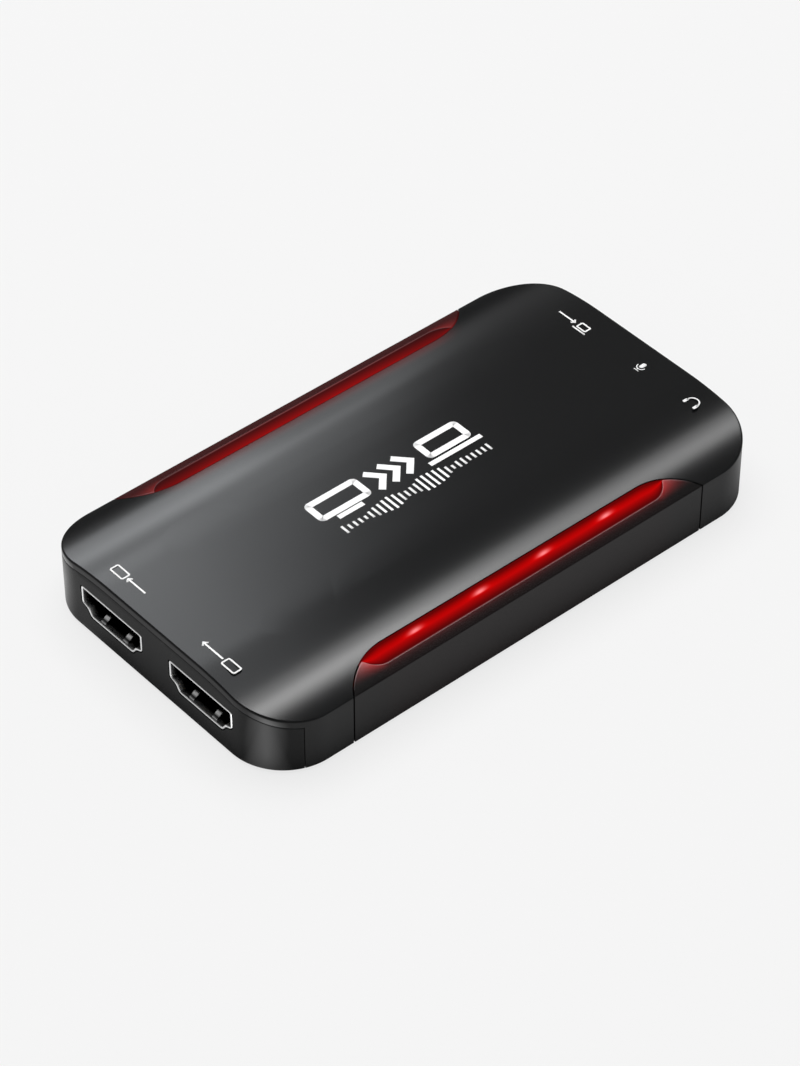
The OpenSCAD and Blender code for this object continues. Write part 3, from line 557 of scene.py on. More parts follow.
# %% Video sockets
sleeves = []
video_sheet, video_deep = 0.35, 11.5
tab_apart, tab_wide, tab_thick, tab_z = 2.7, 1.05, 0.2, 0.4
leg_apart, leg_wide, leg_thick = 6.5, 1.8, 0.6
leg_deep, leg_rise = (4.9, 9.9), (video_sink, 1.2, 1.6)
for name, y in zip(("video_in", "video_out"), video_y):
    grids = [sleeve(video_outline, (y, video_z), video_sheet, video_deep, video_front, -1)]
    for s in (-1, 1):
        tab = tab_path(video_front, -1, y + s * tab_apart, video_z + tab_z, 1)
        grids.append(strap(tab, (0, 1, 0), tab_wide, tab_thick))
        for deep in leg_deep:
            leg_x, leg_y = video_front + deep, y + s * leg_apart
            leg = [(leg_x, leg_y, video_z + rise) for rise in leg_rise]
            grids.append(strap(leg, (1, 0, 0), leg_wide, leg_thick))
    inside = (video_front + 5, y, video_z + 3)
    sleeves.append(piece(name + "_sleeve", grids, inside, "socket_metal", [name + "_shell"]))

# %% Data socket
data_sheet, data_deep = 0.3, 14.0
data_tab_apart, data_tab_wide, data_tab_back, data_tab_z = 3.2, 1.7, 1.2, 0.35
data_leg_wide, data_leg_thick = 2.0, 1.2
data_leg_deep, data_leg_out = (5.5, 12.0), (6.4, 7.0, 7.55)
data_tabs = ((data_z + data_tab_z, 0.9), (data_z + data_size[1] - data_tab_z, -0.55))
grids = [sleeve(data_outline, (data_y, data_z), data_sheet, data_deep, data_front, 1)]
for s in (-1, 1):
    for z, up in data_tabs:
        tab = tab_path(data_front - data_tab_back, 1, data_y + s * data_tab_apart, z, up)
        grids.append(strap(tab, (0, 1, 0), data_tab_wide, tab_thick))
    for deep in data_leg_deep:
        leg_x, leg_z = data_front - deep, data_z + data_sink + data_leg_thick / 2
        leg = [(leg_x, data_y + s * out, leg_z) for out in data_leg_out]
        grids.append(strap(leg, (1, 0, 0), data_leg_wide, data_leg_thick))
sleeves.append(piece("data_sleeve", grids, (45, data_y, data_z + 3), "socket_metal", ["data_shell"]))

# %% Where the spring tabs are
tab_slack, lip_low, lip_high, lip_from, lip_to = 0.05, 0.62, 2.0, 0.9, 1.8
data_lip_half, data_lip_from = 2.45, 2


def on_tab(x, y, z):
    """1 on the raised part of every spring tab: at the tab's place and width, clear of its own sheet."""
    deep = case_l / 2 - np.abs(x)
    off = np.abs(np.stack([np.abs(y - place) for place in video_y]) - tab_apart)
    raised = (z > video_z + lip_low) & (z < video_z + lip_high) & (deep > lip_from) & (deep < lip_to)
    video = (off < tab_wide / 2 + tab_slack).any(axis=0) & raised
    data = np.abs(np.abs(y - data_y) - data_tab_apart) < data_tab_wide / 2 + tab_slack
    data &= (np.abs(z - data_z - data_size[1] / 2) < data_lip_half) & (deep > data_lip_from)
    return np.where(x < 0, video, data).astype(float)


# %% [markdown]
# ## Sound jacks and feet
# A sound jack is a moulded block with a turned nose. Going round its axis, the block's square outline is
# carried forward to the nose's circle, over the lip and down the bore, so block and nose need no
# joining. A foot is turned about its own axis from a half section, as the Screw modifier would do it.

# %% Sound jacks
block_half, block_back, block_front, block_soft, block_shrink = (3, 2.5), 37.6, 47.6, 0.2, 0.96
nose_r, lip_r, nose_in, nose_foot_r = 2.5, 0.25, 0.3, 2.48
bore_r, mouth_r, mouth_in, bore_end, tip = 1.8, 0.2, 0.05, 38.8, 0.1


def jack_grid(y):
    """Block, nose and bore as one surface: outlines about the axis, from the back to the bore's end."""
    around, (w, h) = np.append(circle, 0), block_half
    ray = np.stack([np.cos(around), np.sin(around)], 1)
    block = ray_hits(rounded([(w, h), (w, -h), (-w, -h), (-w, h)], 0.4), np.zeros(2), ray * 9)
    small, nose_x, mouth_x = block * block_shrink, data_front - nose_in, data_front - mouth_in
    lip = np.linspace(0, np.pi / 2, 6)
    rows = [(ray * 0, block_back), (small, block_back), (block, block_back + block_soft)]
    rows += [(block, block_front - block_soft), (small, block_front), (ray * nose_foot_r, block_front)]
    rows += [(ray * nose_r, block_front + tip)]
    rows += [(ray * (nose_r - lip_r + lip_r * np.cos(a)), nose_x + lip_r * np.sin(a)) for a in lip]
    rows += [(ray * (bore_r + mouth_r * (1 - np.sin(a))), mouth_x - mouth_r * (1 - np.cos(a))) for a in lip]
    rows += [(ray * bore_r, bore_end), (ray * 0, bore_end - tip)]
    outlines = [np.concatenate([np.full((len(ray), 1), x), flat + [y, jack_z]], 1) for flat, x in rows]
    return np.stack(outlines)


for name, y in zip(("mic", "headphone"), jack_y):
    inside, nodes = (48, y + 2.2, jack_z), [name + "_jack_housing"]
    piece(name + "_jack_body", [jack_grid(y)], inside, "black_plastic", nodes, edge=0.04)

# %% Feet
foot_x, foot_y = 34.5, 20.5


def foot_grid(x, y):
    """Half section of a foot turned about its axis: hollowed sole, rounded edge, straight side, top."""
    bend = np.linspace(0, np.pi / 2, 6)
    r = np.concatenate([[0, 1.4, 2.6, 3.2], 3.5 + 0.5 * np.sin(bend), [4, 0]])
    z = np.concatenate([[0.12, 0.11, 0.06, 0], 0.5 - 0.5 * np.cos(bend), [1.1, 1.1]])
    a = np.append(circle, 0)
    return np.stack([x + r[:, None] * np.cos(a), y + r[:, None] * np.sin(a), z[:, None] + 0 * a], -1)


foot_places = [(x, y) for x in (-foot_x, foot_x) for y in (-foot_y, foot_y)]
piece("feet", [foot_grid(x, y) for x, y in foot_places], (0, 0, 0.6), "foot_rubber", ["rubber_feet"])

# %% [markdown]
# ## Printed signs
# The top carries a small white sign by each socket and a larger one in the middle: a screen, arrows, a
# computer, a microphone, headphones, a row of bars. An image could be laid on the skin, but it would
# blur close up. Ink is a film, so each sign is a set of flat strokes laid just on the skin.

# %% Strokes
ink_film = 0.01
ink_z = foot_proud + case_h - ink_film


def ribbon(points, width, closed=False):
    """Flat stroke of even width along a line of points, mitred where the line turns."""
    p = np.array(points, float)
    if closed:
        p = np.concatenate([p, p[:1]])
    step = np.diff(p, axis=0)
    step /= np.maximum(np.linalg.norm(step, axis=1), 1e-9)[:, None]
    side = np.stack([-step[:, 1], step[:, 0]], 1)
    first, last = (side[-1:], side[:1]) if closed else (side[:1], side[-1:])
    a, b = np.concatenate([first, side]), np.concatenate([side, last])
    reach = (a + b) / np.maximum(1 + (a * b).sum(1), 0.3)[:, None]
    return np.stack([p + reach * width / 2, p - reach * width / 2])


def filled(outline):
    """Flat patch from a closed outline to its middle."""
    p = np.concatenate([outline, outline[:1]])
    return np.stack([p, np.broadcast_to(outline.mean(0), p.shape)])


def ring(radius, a0, a1, centre=(0, 0), steps=25):
    """Points of an arc between two angles in degrees."""
    a = np.radians(np.linspace(a0, a1, steps))
    return np.stack([np.cos(a), np.sin(a)], 1) * radius + np.array(centre)


def box(x0, y0, x1, y1, r):
    """Rounded rectangle as a closed outline."""
    return rounded([(x1, y1), (x1, y0), (x0, y0), (x0, y1)], r)


def arrow(x0, x1, y, head, width):
    """Arrow along x: an open head, and a shaft that stops just short of its tip."""
    way = np.sign(x1 - x0)
    back, stop = x1 - way * head, x1 - way * width * 0.7
    tip = ribbon([(back, y + head), (x1, y), (back, y - head)], width)
    return [ribbon([(x0, y), (stop, y)], width), tip]


def placed(shapes, centre, up):
    """Turns flat shapes so that their upward direction is up, and lays them at a place on the top."""
    right = np.array([up[1], -up[0]])
    flat = [s[..., :1] * right + s[..., 1:] * np.array(up) + np.array(centre) for s in shapes]
    return [np.concatenate([f, np.full(f.shape[:2] + (1,), ink_z)], -1) for f in flat]


# %% Small signs
thin, fine = 0.3, 0.18
video_in_sign = arrow(-3.8, 0.4, 0, 0.55, thin) + [ribbon(box(0.9, -0.75, 3.8, 0.75, 0.3), thin, True)]
video_out_sign = [ribbon(box(-4.0, -0.75, -1.1, 0.75, 0.3), thin, True)] + arrow(-0.6, 4.0, 0, 0.55, thin)
data_sign = arrow(-3.5, 0.2, 0, 0.5, thin) + [ribbon(box(1.1, -0.45, 3.0, 0.8, 0.2), thin, True)]
data_sign.append(ribbon([(0.6, -0.95), (3.5, -0.95)], thin))
mic_sign = [
    filled(box(-0.38, -0.25, 0.38, 1.05, 0.36)),
    ribbon(ring(0.76, 180, 360, (0, 0.1)), fine),
    ribbon([(0, -0.66), (0, -1.05)], fine),
    ribbon([(-0.5, -1.07), (0.5, -1.07)], fine),
]
phone_sign = [ribbon(ring(1.1, -10, 190), 0.24)]
phone_sign += [filled(box(x - 0.28, -0.95, x + 0.28, 0.1, 0.2)) for x in (-1.1, 1.1)]

# %% Sign in the middle, and all the ink
bold, base_line, bar_wide, bar_y, bar_most = 1.15, 0.9, 0.42, -3.5, 1.75
centre_sign = [ribbon(box(-15.7, 0.5, -6.5, 4.2, 0.5), bold, True)]
centre_sign.append(ribbon([(-13.6, -0.75), (-8.6, -0.75)], base_line))
centre_sign += [ribbon([(x, 4.3), (x + 2.1, 2.0), (x, -0.3)], bold) for x in (-4.4, -1.6, 1.2)]
centre_sign.append(ribbon(box(6.3, 0.7, 14.1, 4.2, 0.5), bold, True))
centre_sign.append(ribbon([(4.9, -0.75), (15.5, -0.75)], base_line))
bar_x = np.linspace(-14.6, 14.6, 29)
swell = np.abs(np.sin(bar_x * 0.34 + 0.6) * np.cos(bar_x * 0.13))
bar_h = np.minimum(0.35 + 1.35 * swell + 0.25 * np.abs(np.sin(bar_x * 2.1)), bar_most)
centre_sign += [ribbon([(x, bar_y - h), (x, bar_y + h)], bar_wide) for x, h in zip(bar_x, bar_h)]
ink_grids = placed(video_in_sign, (-46.5, 9.7), (-1, 0)) + placed(video_out_sign, (-46.5, -11.9), (-1, 0))
ink_grids += placed(data_sign, (45.05, 10.85), (1, 0)) + placed(mic_sign, (45.4, -4.4), (1, 0))
ink_grids += placed(phone_sign, (45.5, -16.0), (1, 0)) + placed(centre_sign, (-0.35, 0.67), (0, 1))
piece("printed_signs", ink_grids, (0, 0, 0), "case_plastic", wall=ink_film)

# %% [markdown]
# ## Finishes
# Every finish is mixed from noise in the piece's own coordinates: two close tones, a gloss that wanders
# a little, and a fine grain where the mould was textured. Images would have to be unwrapped, and would
# blur close up. The lit pieces also read what was stored on their points: how strongly, and in which
# colour, light leaves the plastic there.

# %% Parts of a finish
def nodes_of(name):
    """New material, with its node tree and its surface shader."""
    material = bpy.data.materials.new(name)
    material.use_nodes = True
    tree = material.node_tree
    return material, tree, tree.nodes["Principled BSDF"]


def new_nodes(tree, *kinds):
    """New shader nodes of these kinds, in this order."""
    return [tree.nodes.new("ShaderNode" + kind) for kind in kinds]


def mixed(tree, fac, a, b):
    """Colour between a and b, chosen by a socket."""
    mix = tree.nodes.new("ShaderNodeMix")
    mix.data_type = "RGBA"
    mix.inputs["A"].default_value = (*a, 1)
    mix.inputs["B"].default_value = (*b, 1)
    tree.links.new(fac, mix.inputs["Factor"])
    return mix.outputs["Result"]


def ranged(tree, value, a0, a1, b0, b1):
    """Maps a socket's range a0 to a1 onto b0 to b1."""
    node = tree.nodes.new("ShaderNodeMapRange")
    for key, number in zip(("From Min", "From Max", "To Min", "To Max"), (a0, a1, b0, b1)):
        node.inputs[key].default_value = number
    tree.links.new(value, node.inputs["Value"])
    return node.outputs["Result"]


def noise(tree, scale, detail=3.0, stretch=(1, 1, 1)):
    """Noise in the piece's own coordinates, with scale features to the metre."""
    place, size, tex = new_nodes(tree, "TexCoord", "Mapping", "TexNoise")
    size.inputs["Scale"].default_value = stretch
    tex.inputs["Scale"].default_value = scale
    tex.inputs["Detail"].default_value = detail
    tree.links.new(place.outputs["Object"], size.inputs["Vector"])
    tree.links.new(size.outputs["Vector"], tex.inputs["Vector"])
    return tex.outputs["Fac"]


# %% A finish
coat_gloss, gloss_drift, grain_scale, grain_depth = 0.16, 0.03, 9000.0, 0.00002


def finish(name, a, b, gloss, metal=0.0, level=0.5, scale=3000.0, grain=0.0, stretch=(1, 1, 1), coat=0.0):
    """Two tones and a wandering gloss from one noise, a fine grain from another, and a satin coat."""
    material, tree, bsdf = nodes_of(name)
    fac = noise(tree, scale, 3.0, stretch)
    tree.links.new(mixed(tree, fac, a, b), bsdf.inputs["Base Color"])
    low, high = gloss - gloss_drift, gloss + gloss_drift
    tree.links.new(ranged(tree, fac, 0.3, 0.7, low, high), bsdf.inputs["Roughness"])
    bsdf.inputs["Metallic"].default_value = metal
    bsdf.inputs["Specular IOR Level"].default_value = level
    bsdf.inputs["Coat Weight"].default_value = coat
    bsdf.inputs["Coat Roughness"].default_value = coat_gloss
    if grain:
        bump = tree.nodes.new("ShaderNodeBump")
        bump.inputs["Strength"].default_value = grain
        bump.inputs["Distance"].default_value = grain_depth
        tree.links.new(noise(tree, grain_scale, 1.0), bump.inputs["Height"])
        tree.links.new(bump.outputs["Normal"], bsdf.inputs["Normal"])
    return material


def satin(name, a, b, scale, coat):
    """Moulded plastic that mirrors only with its satin coat."""
    return finish(name, a, b, 0.5, level=0.0, scale=scale, coat=coat)


def stored(tree, name):
    """Number stored on the points of the mesh."""
    node = tree.nodes.new("ShaderNodeAttribute")
    node.attribute_name = name
    return node.outputs["Fac"]


def store(obj, name, values_of):
    """Stores a number or a colour on every point: values_of gets x, y and z in millimetres."""
    mesh = obj.data
    p = np.zeros(len(mesh.vertices) * 3)
    mesh.vertices.foreach_get("co", p)
    values = values_of(*(p.reshape(-1, 3) / MM).T)
    kind, key = ("FLOAT", "value") if values.ndim == 1 else ("FLOAT_COLOR", "color")
    mesh.attributes.new(name, kind, "POINT").data.foreach_set(key, values.ravel().astype(np.float32))
    print(obj.name, name, "stored on points:", len(mesh.vertices))


def wear(obj, material):
    """The object shows only this material."""
    obj.data.materials.clear()
    obj.data.materials.append(material)


# %% Light inside the case
spill_fade, spill_from, spill_to = 2.0, 1.0, 3.0
rim_glow, rim_fade, far_glow, end_fade, far_end_glow = 0.18, 0.45, 0.115, 2.0, 0.45


def window_distance(x, y):
    """Distance in mm from the light window's outline, and how far past its straight part x lies."""
    d = case_w / 2 - np.abs(y)
    past = np.clip(light_x0 - x, 0, None) + np.clip(x - light_x1, 0, None)
    round_end = np.hypot(past, d - light_rim - light_end_r) - light_end_r
    return np.where(past > 0, round_end, light_rim - d), past


def smooth(value, low, high):
    """0 below low, 1 above high, and an S-curve between."""
    t = np.clip((value - low) / (high - low), 0, 1)
    return t * t * (3 - 2 * t)


def spill_of(x, y, z):
    """Red light on the shell beyond the far seam, gone after three millimetres. The near side has none."""
    beyond = case_w / 2 - y - panel_edge(np.clip(x, panel_x0 + 0.5, panel_x1 - 0.5), 0)
    along = smooth(x, light_x0 - 6, light_x0 + 3) * (1 - smooth(x, light_x1 - 3, light_x1 + 6))
    fade = np.exp(-np.clip(beyond, 0, None) / spill_fade) * (1 - smooth(beyond, spill_from, spill_to))
    return np.where(y > 0, fade * along, 0)


def glow_of(x, y, z):
    """Light inside a smoked panel: a slim line under the window's rim, and a wide glow past its ends.
    The far panel is seen at a flat angle, through more plastic, and glows all over."""
    gap, past = window_distance(x, y)
    gap, d = np.clip(gap, 0, None), case_w / 2 - np.abs(y)
    slim = np.where(y > 0, far_glow * smooth(z, 6, 9), rim_glow * np.exp(-gap / rim_fade))
    ends = np.exp(-gap / end_fade) * smooth(past, 0, 1.5) * smooth(d, 0.9, 3.3)
    return slim + np.where(y > 0, far_end_glow, 1) * ends


def lit(material, name, colour):
    """Lets a finish glow in one colour, as strongly as the number stored on its points."""
    tree = material.node_tree
    bsdf = tree.nodes["Principled BSDF"]
    tree.links.new(mixed(tree, stored(tree, name), (0, 0, 0), colour), bsdf.inputs["Emission Color"])
    bsdf.inputs["Emission Strength"].default_value = 1.0


# %% Case finishes
case_plastic = satin("case_plastic", (0.0046, 0.0047, 0.0049), (0.0060, 0.0061, 0.0063), 1500.0, 0.45)
panel_plastic = satin("panel_plastic", (0.0044, 0.0045, 0.0047), (0.0058, 0.0059, 0.0061), 1500.0, 0.32)
smoked = satin("smoked_plastic", (0.0046, 0.0040, 0.0041), (0.0060, 0.0052, 0.0053), 1200.0, 0.44)
store(top_skin, "spill", spill_of)
lit(case_plastic, "spill", (0.085, 0.004, 0.005))
for panel in (near_panel, far_panel):
    store(panel, "glow", glow_of)
    wear(panel, smoked)
lit(smoked, "glow", (0.34, 0.012, 0.013))
wear(top_skin, case_plastic)
wear(video_face, panel_plastic)
wear(data_face, panel_plastic)

# %% [markdown]
# ## Lit channel
# Four diodes behind each guide fill its red plastic with light. Tracing that light through the plastic
# would take long and stay noisy, so the colour that leaves the face is worked out by formula, stored on
# its points and shown as emission.

# %% Light of a channel
spot_in, halo_wide, halo_deep, core_wide, core_deep = 4.39, 2.0, 0.36, 0.95, 0.17
dim_red, full_red, climb_from, climb_to, climb_bend = 0.07, 0.49, 0.09, 0.72, 1.35
rim_from, rim_red, drop_from, drop_by = 0.02, 0.1, 0.78, 0.78


def channel_light(x, y, z):
    """Red, green and blue of the light that leaves the guide. Red climbs from the rim to the valley and
    drops on the steep slope. Every diode adds a pale core in a red halo, and the rim is a pale line.
    The far channel is seen across its rim, so it looks dimmer, most of all towards its ends."""
    low, high = window_edge(x) + rim_clear, panel_edge(x, -panel_gap)
    d = case_w / 2 - np.abs(y)
    share = (d - low) / np.maximum(high - low, 0.05)
    apart = np.abs(x[:, None] - diode_x).min(axis=1)
    halo = np.exp(-((apart / halo_wide) ** 2) - ((d - spot_in) / halo_deep) ** 2)
    core = np.exp(-((apart / core_wide) ** 2) - ((d - spot_in) / core_deep) ** 2)
    rim = 1 - smooth(share, rim_from, climb_from)
    climb = np.clip((share - climb_from) / (climb_to - climb_from), 0, 1) ** climb_bend
    drop = 1 - drop_by * smooth(share, drop_from, 1)
    red = (dim_red + (full_red - dim_red) * climb) * drop + rim_red * rim
    red *= np.where(y > 0, (0.6 + 0.4 * rim) * (1 - 0.4 * smooth(np.abs(x), 10, 30)), 1)
    pale = np.where(y > 0, 0.005, 0.0012) + 0.045 * rim + 0.26 * core
    return np.stack([red + 0.32 * halo + 0.3 * core, pale, pale * 1.03, np.ones_like(x)], 1)


def channel_material():
    """Clear red plastic that shows the light stored on its points."""
    material, tree, bsdf = nodes_of("red_guide")
    light = tree.nodes.new("ShaderNodeAttribute")
    light.attribute_name = "light"
    tree.links.new(light.outputs["Color"], bsdf.inputs["Emission Color"])
    bsdf.inputs["Emission Strength"].default_value = 1.0
    fac = noise(tree, 2500.0)
    base = mixed(tree, fac, (0.016, 0.0006, 0.0008), (0.022, 0.0009, 0.0012))
    tree.links.new(base, bsdf.inputs["Base Color"])
    tree.links.new(ranged(tree, fac, 0.3, 0.7, 0.2, 0.26), bsdf.inputs["Roughness"])
    bsdf.inputs["Specular IOR Level"].default_value = 0.0
    return material


red_guide = channel_material()
for guide in (near_guide, far_guide):
    store(guide, "light", channel_light)
    wear(guide, red_guide)

# %% [markdown]
# ## Metal and small parts
# The sockets are bright plated sheet. Inside them, behind the front rim and off the spring tabs, shade is
# painted dark into the sheet's colour, where little light gets in. The board and all that stands on it
# show only in a case that is taken apart, so each of them keeps its imported solid and gets a plain finish.

# %% Socket metal
rim_deep, rim_full = 0.7, 0.2


def unshaded_of(x, y, z):
    """1 on the socket's front rim and on its spring tabs, 0 on the sheet behind the rim, which gets painted
    shade.
    """
    rim = smooth(np.abs(x), case_l / 2 - rim_deep, case_l / 2 - rim_full)
    return np.maximum(rim, on_tab(x, y, z))


def socket_metal():
    """Bright plated sheet, with shade painted dark into its colour inside, behind the rim."""
    material, tree, bsdf = nodes_of("socket_metal")
    # The dark colour is painted shade inside the socket. The plated colour shows where the stored number is
    # 1.
    base = mixed(tree, stored(tree, "bright"), (0.012, 0.012, 0.012), (0.88, 0.88, 0.88))
    gloss = ranged(tree, noise(tree, 4000.0, 2.0, (1, 0.2, 1)), 0.3, 0.7, 0.26, 0.36)
    tree.links.new(base, bsdf.inputs["Base Color"])
    tree.links.new(gloss, bsdf.inputs["Roughness"])
    bsdf.inputs["Metallic"].default_value = 1.0
    return material


for sleeve_obj in sleeves:
    store(sleeve_obj, "bright", unshaded_of)

# %% Small parts
finishes = {"case_plastic": case_plastic, "socket_metal": socket_metal()}
brushed = (0.1, 1, 1)
for name, a, b, gloss, more in (
    ("printed_ink", (0.82, 0.82, 0.82), (0.88, 0.88, 0.88), 0.5, {"level": 0.2}),
    ("black_plastic", (0.0045, 0.0045, 0.0048), (0.007, 0.007, 0.0075), 0.5, {"level": 0.15}),
    ("foot_rubber", (0.012, 0.012, 0.012), (0.020, 0.020, 0.020), 0.75, {"level": 0.3, "grain": 0.4}),
    ("board_laminate", (0.012, 0.075, 0.032), (0.02, 0.10, 0.045), 0.35, {"scale": 900.0}),
    ("red_diode", (0.7, 0.06, 0.05), (0.8, 0.09, 0.07), 0.25, {}),
    ("blue_plastic", (0.012, 0.05, 0.24), (0.018, 0.07, 0.3), 0.42, {}),
    ("contact_metal", (0.80, 0.55, 0.19), (0.86, 0.62, 0.24), 0.25, {"metal": 1.0}),
    ("chip_mould", (0.014, 0.014, 0.015), (0.022, 0.022, 0.024), 0.6, {"grain": 0.3}),
    ("thermal_rubber", (0.22, 0.26, 0.31), (0.28, 0.33, 0.39), 0.8, {"grain": 0.3}),
    ("bare_aluminium", (0.58, 0.59, 0.60), (0.68, 0.69, 0.70), 0.35, {"metal": 1.0, "stretch": brushed}),
    ("can_steel", (0.52, 0.53, 0.54), (0.60, 0.61, 0.62), 0.3, {"metal": 1.0}),
    ("ferrite", (0.07, 0.066, 0.062), (0.10, 0.095, 0.09), 0.65, {"grain": 0.3}),
    ("capacitor_body", (0.40, 0.28, 0.16), (0.50, 0.36, 0.22), 0.5, {}),
):
    finishes[name] = finish(name, a, b, gloss, **more)
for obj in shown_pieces():
    if obj.name == "printed_signs":
        wear(obj, finishes["printed_ink"])
    elif obj in (top_skin, near_panel, far_panel, near_guide, far_guide, video_face, data_face):
        continue
    else:
        slot = slot_of.get(obj.name) or obj.data.materials[0].name
        wear(obj, finishes[slot.split(".")[0]])
print("finishes:", len(finishes) + 3)

# %% [markdown]
# ## Floor
# The object stands on a pale sheet that looks even white, with a faint shadow. One plain white surface
# would show the shadow in full, so the camera sees mostly an even tone with some lit paper in it.
# Reflections see a white of strength 1 at most, shaded close to the object and dimmer far behind it.

# %% Surface of the floor
def pale_floor():
    """Pale sheet. Seen straight on it is mostly even white, so that its shadow stays faint. In
    reflections it shows the level stored on its points."""
    material, tree, bsdf = nodes_of("pale_floor")
    tree.nodes.remove(bsdf)

    def sheet(glow, paper):
        """Sum of an even white and of paper that the lamps light."""
        white, lit_paper, both = new_nodes(tree, "Emission", "BsdfDiffuse", "AddShader")
        white.inputs["Color"].default_value = (glow, glow, glow, 1)
        lit_paper.inputs["Color"].default_value = (paper, paper, paper, 1)
        tree.links.new(white.outputs[0], both.inputs[0])
        tree.links.new(lit_paper.outputs[0], both.inputs[1])
        return both.outputs[0]

    def chosen(fac, off, on):
        """One of two surfaces, by the kind of ray."""
        pick = tree.nodes.new("ShaderNodeMixShader")
        tree.links.new(fac, pick.inputs["Fac"])
        tree.links.new(off, pick.inputs[1])
        tree.links.new(on, pick.inputs[2])
        return pick.outputs[0]

    rays, mirror, seen = new_nodes(tree, "LightPath", "Math", "Emission")
    mirror.operation = "MAXIMUM"
    tree.links.new(rays.outputs["Is Glossy Ray"], mirror.inputs[0])
    tree.links.new(rays.outputs["Is Transmission Ray"], mirror.inputs[1])
    tree.links.new(stored(tree, "level"), seen.inputs["Strength"])
    shade = chosen(mirror.outputs[0], sheet(0.0, 0.75), seen.outputs[0])
    shade = chosen(rays.outputs["Is Camera Ray"], shade, sheet(0.758, 0.13))
    tree.links.new(shade, tree.nodes["Material Output"].inputs["Surface"])
    return material


shade_by, shade_reach, shade_less = 0.84, 3.6, 0.85


def floor_level(x, y, z):
    """How bright the sheet looks in reflections: white, shaded close to the object's outline, less so on
    its far side, and dimmer far behind it."""
    past_x, past_y = np.clip(np.abs(x) - turn_x, 0, None), np.clip(np.abs(y) - turn_y, 0, None)
    gap = np.clip(np.hypot(past_x, past_y) - corner_r, 0, None)
    shade = 1 - shade_by * np.exp(-gap / shade_reach) * (1 - shade_less * smooth(y, 10, 20))
    return shade * (1 - 0.5 * smooth(y, 32, 60))


# %% Floor
floor_half, fine_half = 6, 0.1
steps = np.concatenate([[-floor_half], np.linspace(-fine_half, fine_half, 201), [floor_half]])
floor_x, floor_y = np.meshgrid(steps, steps)
floor_points = np.stack([floor_x, floor_y, 0 * floor_x], -1).reshape(-1, 3)
floor_mesh = bpy.data.meshes.new("floor")
floor_mesh.from_pydata(floor_points.tolist(), [], grid_faces(steps.size, steps.size, 0).tolist())
floor_obj = bpy.data.objects.new("floor", floor_mesh)
bpy.context.scene.collection.objects.link(floor_obj)
store(floor_obj, "level", floor_level)
wear(floor_obj, pale_floor())

# %% [markdown]
# ## Room
# The room is a ramp from the horizon to the ceiling: a pale foot, a dark band, a bright band and a dim
# ceiling. The upright walls and the rolled sides mirror different bands of it, which tells them apart.

# %% World
world = bpy.data.worlds.new("world")
bpy.context.scene.world = world
world.use_nodes = True
tree = world.node_tree
direction, split, ramp = new_nodes(tree, "TexCoord", "SeparateXYZ", "ValToRGB")
tree.links.new(direction.outputs["Generated"], split.inputs["Vector"])
tree.links.new(split.outputs["Z"], ramp.inputs["Fac"])
stops = ramp.color_ramp.elements
stops[0].position, stops[0].color = 0.06, (0.55, 0.55, 0.55, 1)
stops[1].position, stops[1].color = 0.92, (0.03, 0.03, 0.03, 1)
for height, level in ((0.10, 0.03), (0.22, 0.05), (0.32, 0.65), (0.55, 0.32), (0.75, 0.28)):
    stops.new(height).color = (level, level, level, 1)
tree.links.new(ramp.outputs["Color"], tree.nodes["Background"].inputs["Color"])
tree.nodes["Background"].inputs["Strength"].default_value = 1.0
print("stops of the room's ramp:", len(stops))

# %% [markdown]
# ## Lamps
# One broad soft lamp shows every colour about as it is written. Dark satin plastic shows little but
# reflections, so the other lamps light no surface and only appear in reflections. Most of them are given
# by the patch of the top in which they are to be seen: the camera's lines of sight to that patch are
# turned away by the plastic and followed to the lamp. Three soft ovals just over the floor are mirrored
# in the upright walls of the two corners at the video end.

# %% Kinds of lamp
lamp_away, aim_z = 0.7, 12


def mirrored(x, y):
    """Place lamp_away metres from the top's point at x and y, where the line of sight goes after it."""
    tilt = max(roll_run - case_w / 2 + abs(y), 0) / roll_r
    point = Vector((x, y, float(top_z(y)))) * MM
    sight = (point - camera.location).normalized()
    return point + sight.reflect(Vector((0, np.sign(y) * tilt, np.sqrt(1 - tilt**2)))) * lamp_away


def lamp(name, place, target, size, radiance, only_mirrored, long_side=(1, 0, 0)):
    """Soft rectangular lamp that looks at a point, in metres. A mirrored one shows in reflections and
    lights nothing, and a plain one lights everything and shows in none."""
    data = bpy.data.lights.new(name, "AREA")
    data.shape = "RECTANGLE"
    data.size, data.size_y = size
    data.energy = radiance * np.pi * size[0] * size[1]
    obj = bpy.data.objects.new(name, data)
    bpy.context.scene.collection.objects.link(obj)
    back = (Vector(place) - Vector(target)).normalized()
    side = Vector(long_side)
    side = (side - back * back.dot(side)).normalized()
    obj.location = place
    obj.rotation_euler = Matrix((side, back.cross(side), back)).transposed().to_euler()
    obj.visible_camera = False
    obj.visible_diffuse = not only_mirrored
    obj.visible_glossy = only_mirrored
    return data


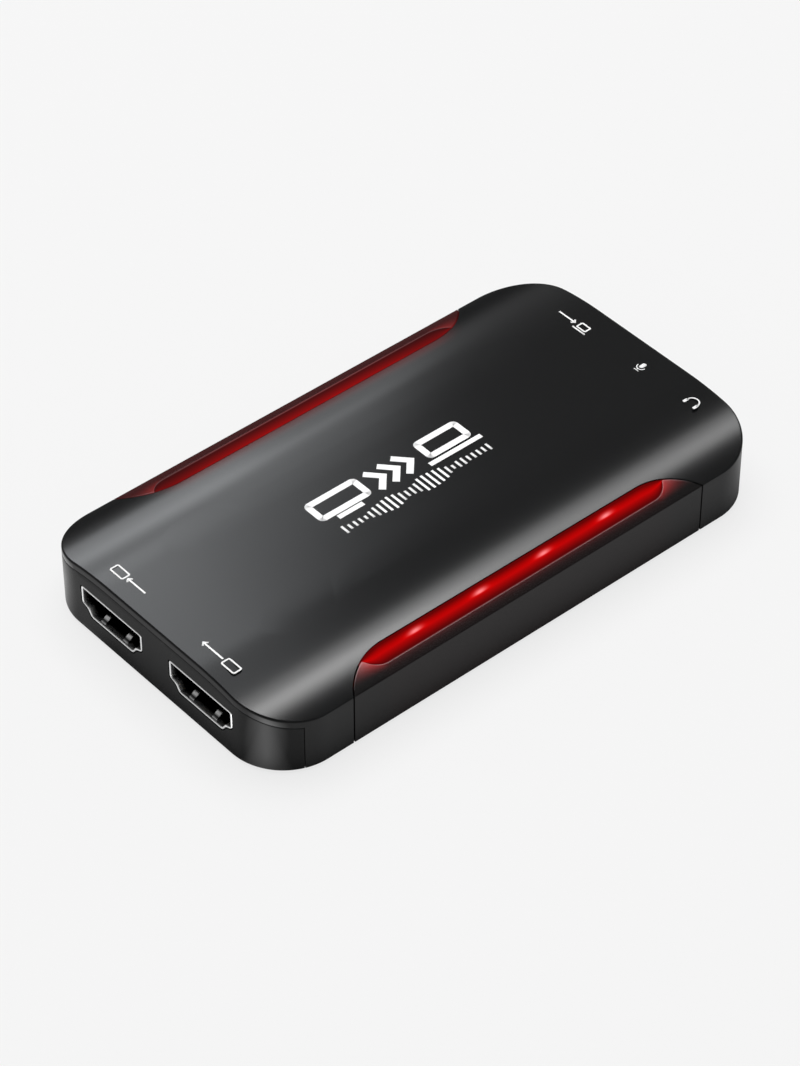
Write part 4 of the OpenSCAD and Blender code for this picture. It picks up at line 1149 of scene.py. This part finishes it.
def patch_lamp(name, x, y, radiance, colour=(1, 1, 1)):
    """Lamp whose reflection fills the patch of the top between two x and two y, in millimetres."""
    corners = [mirrored(a, b) for a in x for b in y]
    place = sum(corners, Vector()) / 4
    long_way = (corners[2] + corners[3] - corners[0] - corners[1]).length / 2
    size = (long_way, (corners[1] - corners[0]).length)
    lamp(name, place, Vector((sum(x) / 2, sum(y) / 2, aim_z)) * MM, size, radiance, True).color = colour
    print(name, "at", np.round(place, 2).tolist(), "size", np.round(size, 3).tolist())


def low_glow(name, x, y, z, size, turn, radiance):
    """Oval glow just over the floor, for the upright walls. It fades evenly from its middle to its edge."""
    place, angle = Vector((x, y, z)) * MM, np.radians(turn)
    along = (np.cos(angle), np.sin(angle), 0)
    data = lamp(name, place, place + Vector((0, 0, 1)), np.array(size) * MM, radiance, True, along)
    data.use_nodes = True
    tree = data.node_tree
    spot, centred, fade = new_nodes(tree, "NewGeometry", "Mapping", "TexGradient")
    centred.inputs["Location"].default_value = (-1, -1, 0)
    centred.inputs["Scale"].default_value = (2, 2, 0)
    fade.gradient_type = "SPHERICAL"
    tree.links.new(spot.outputs["Parametric"], centred.inputs["Vector"])
    tree.links.new(centred.outputs["Vector"], fade.inputs["Vector"])
    tree.links.new(fade.outputs["Fac"], tree.nodes["Emission"].inputs["Strength"])


# %% All lamps
lamp("key", (0.1, 0.25, 1.2), (0, 0, 0), (1.3, 1.3), 3.9, False)
patch_lamp("streak", (-110, 80), (-24.0, -22.2), 12.2)
patch_lamp("streak_fall", (-110, 80), (-22.2, -20.4), 6.7)
patch_lamp("streak_end", (-110, -12), (-25.0, -22.4), 9.5)
cool = (0.97, 1.0, 1.03)
patch_lamp("sheen_near", (-110, -38), (-20.6, -10.6), 2.6, cool)
patch_lamp("sheen_middle", (-110, -38), (-10.6, 14), 3.2, cool)
patch_lamp("sheen_end", (-110, -20), (-12, 19.6), 1.6, cool)
patch_lamp("sheen_far", (-110, 6), (10.6, 18.6), 2.6, cool)
patch_lamp("sheen_rim", (-110, 18), (18.0, 22.3), 2.2, cool)
patch_lamp("sheen_rim_end", (-110, -16), (17.0, 22.3), 2.7, cool)
low_glow("near_corner_foot", -51.2, -25.4, 0.4, (16, 9.5), 21, 2.9)
low_glow("near_corner_glow", -58.7, -28.2, 0.2, (22, 19), 21, 4.3)
low_glow("far_corner_glow", -49.0, 29.0, 0.3, (18, 18), 0, 1.2)
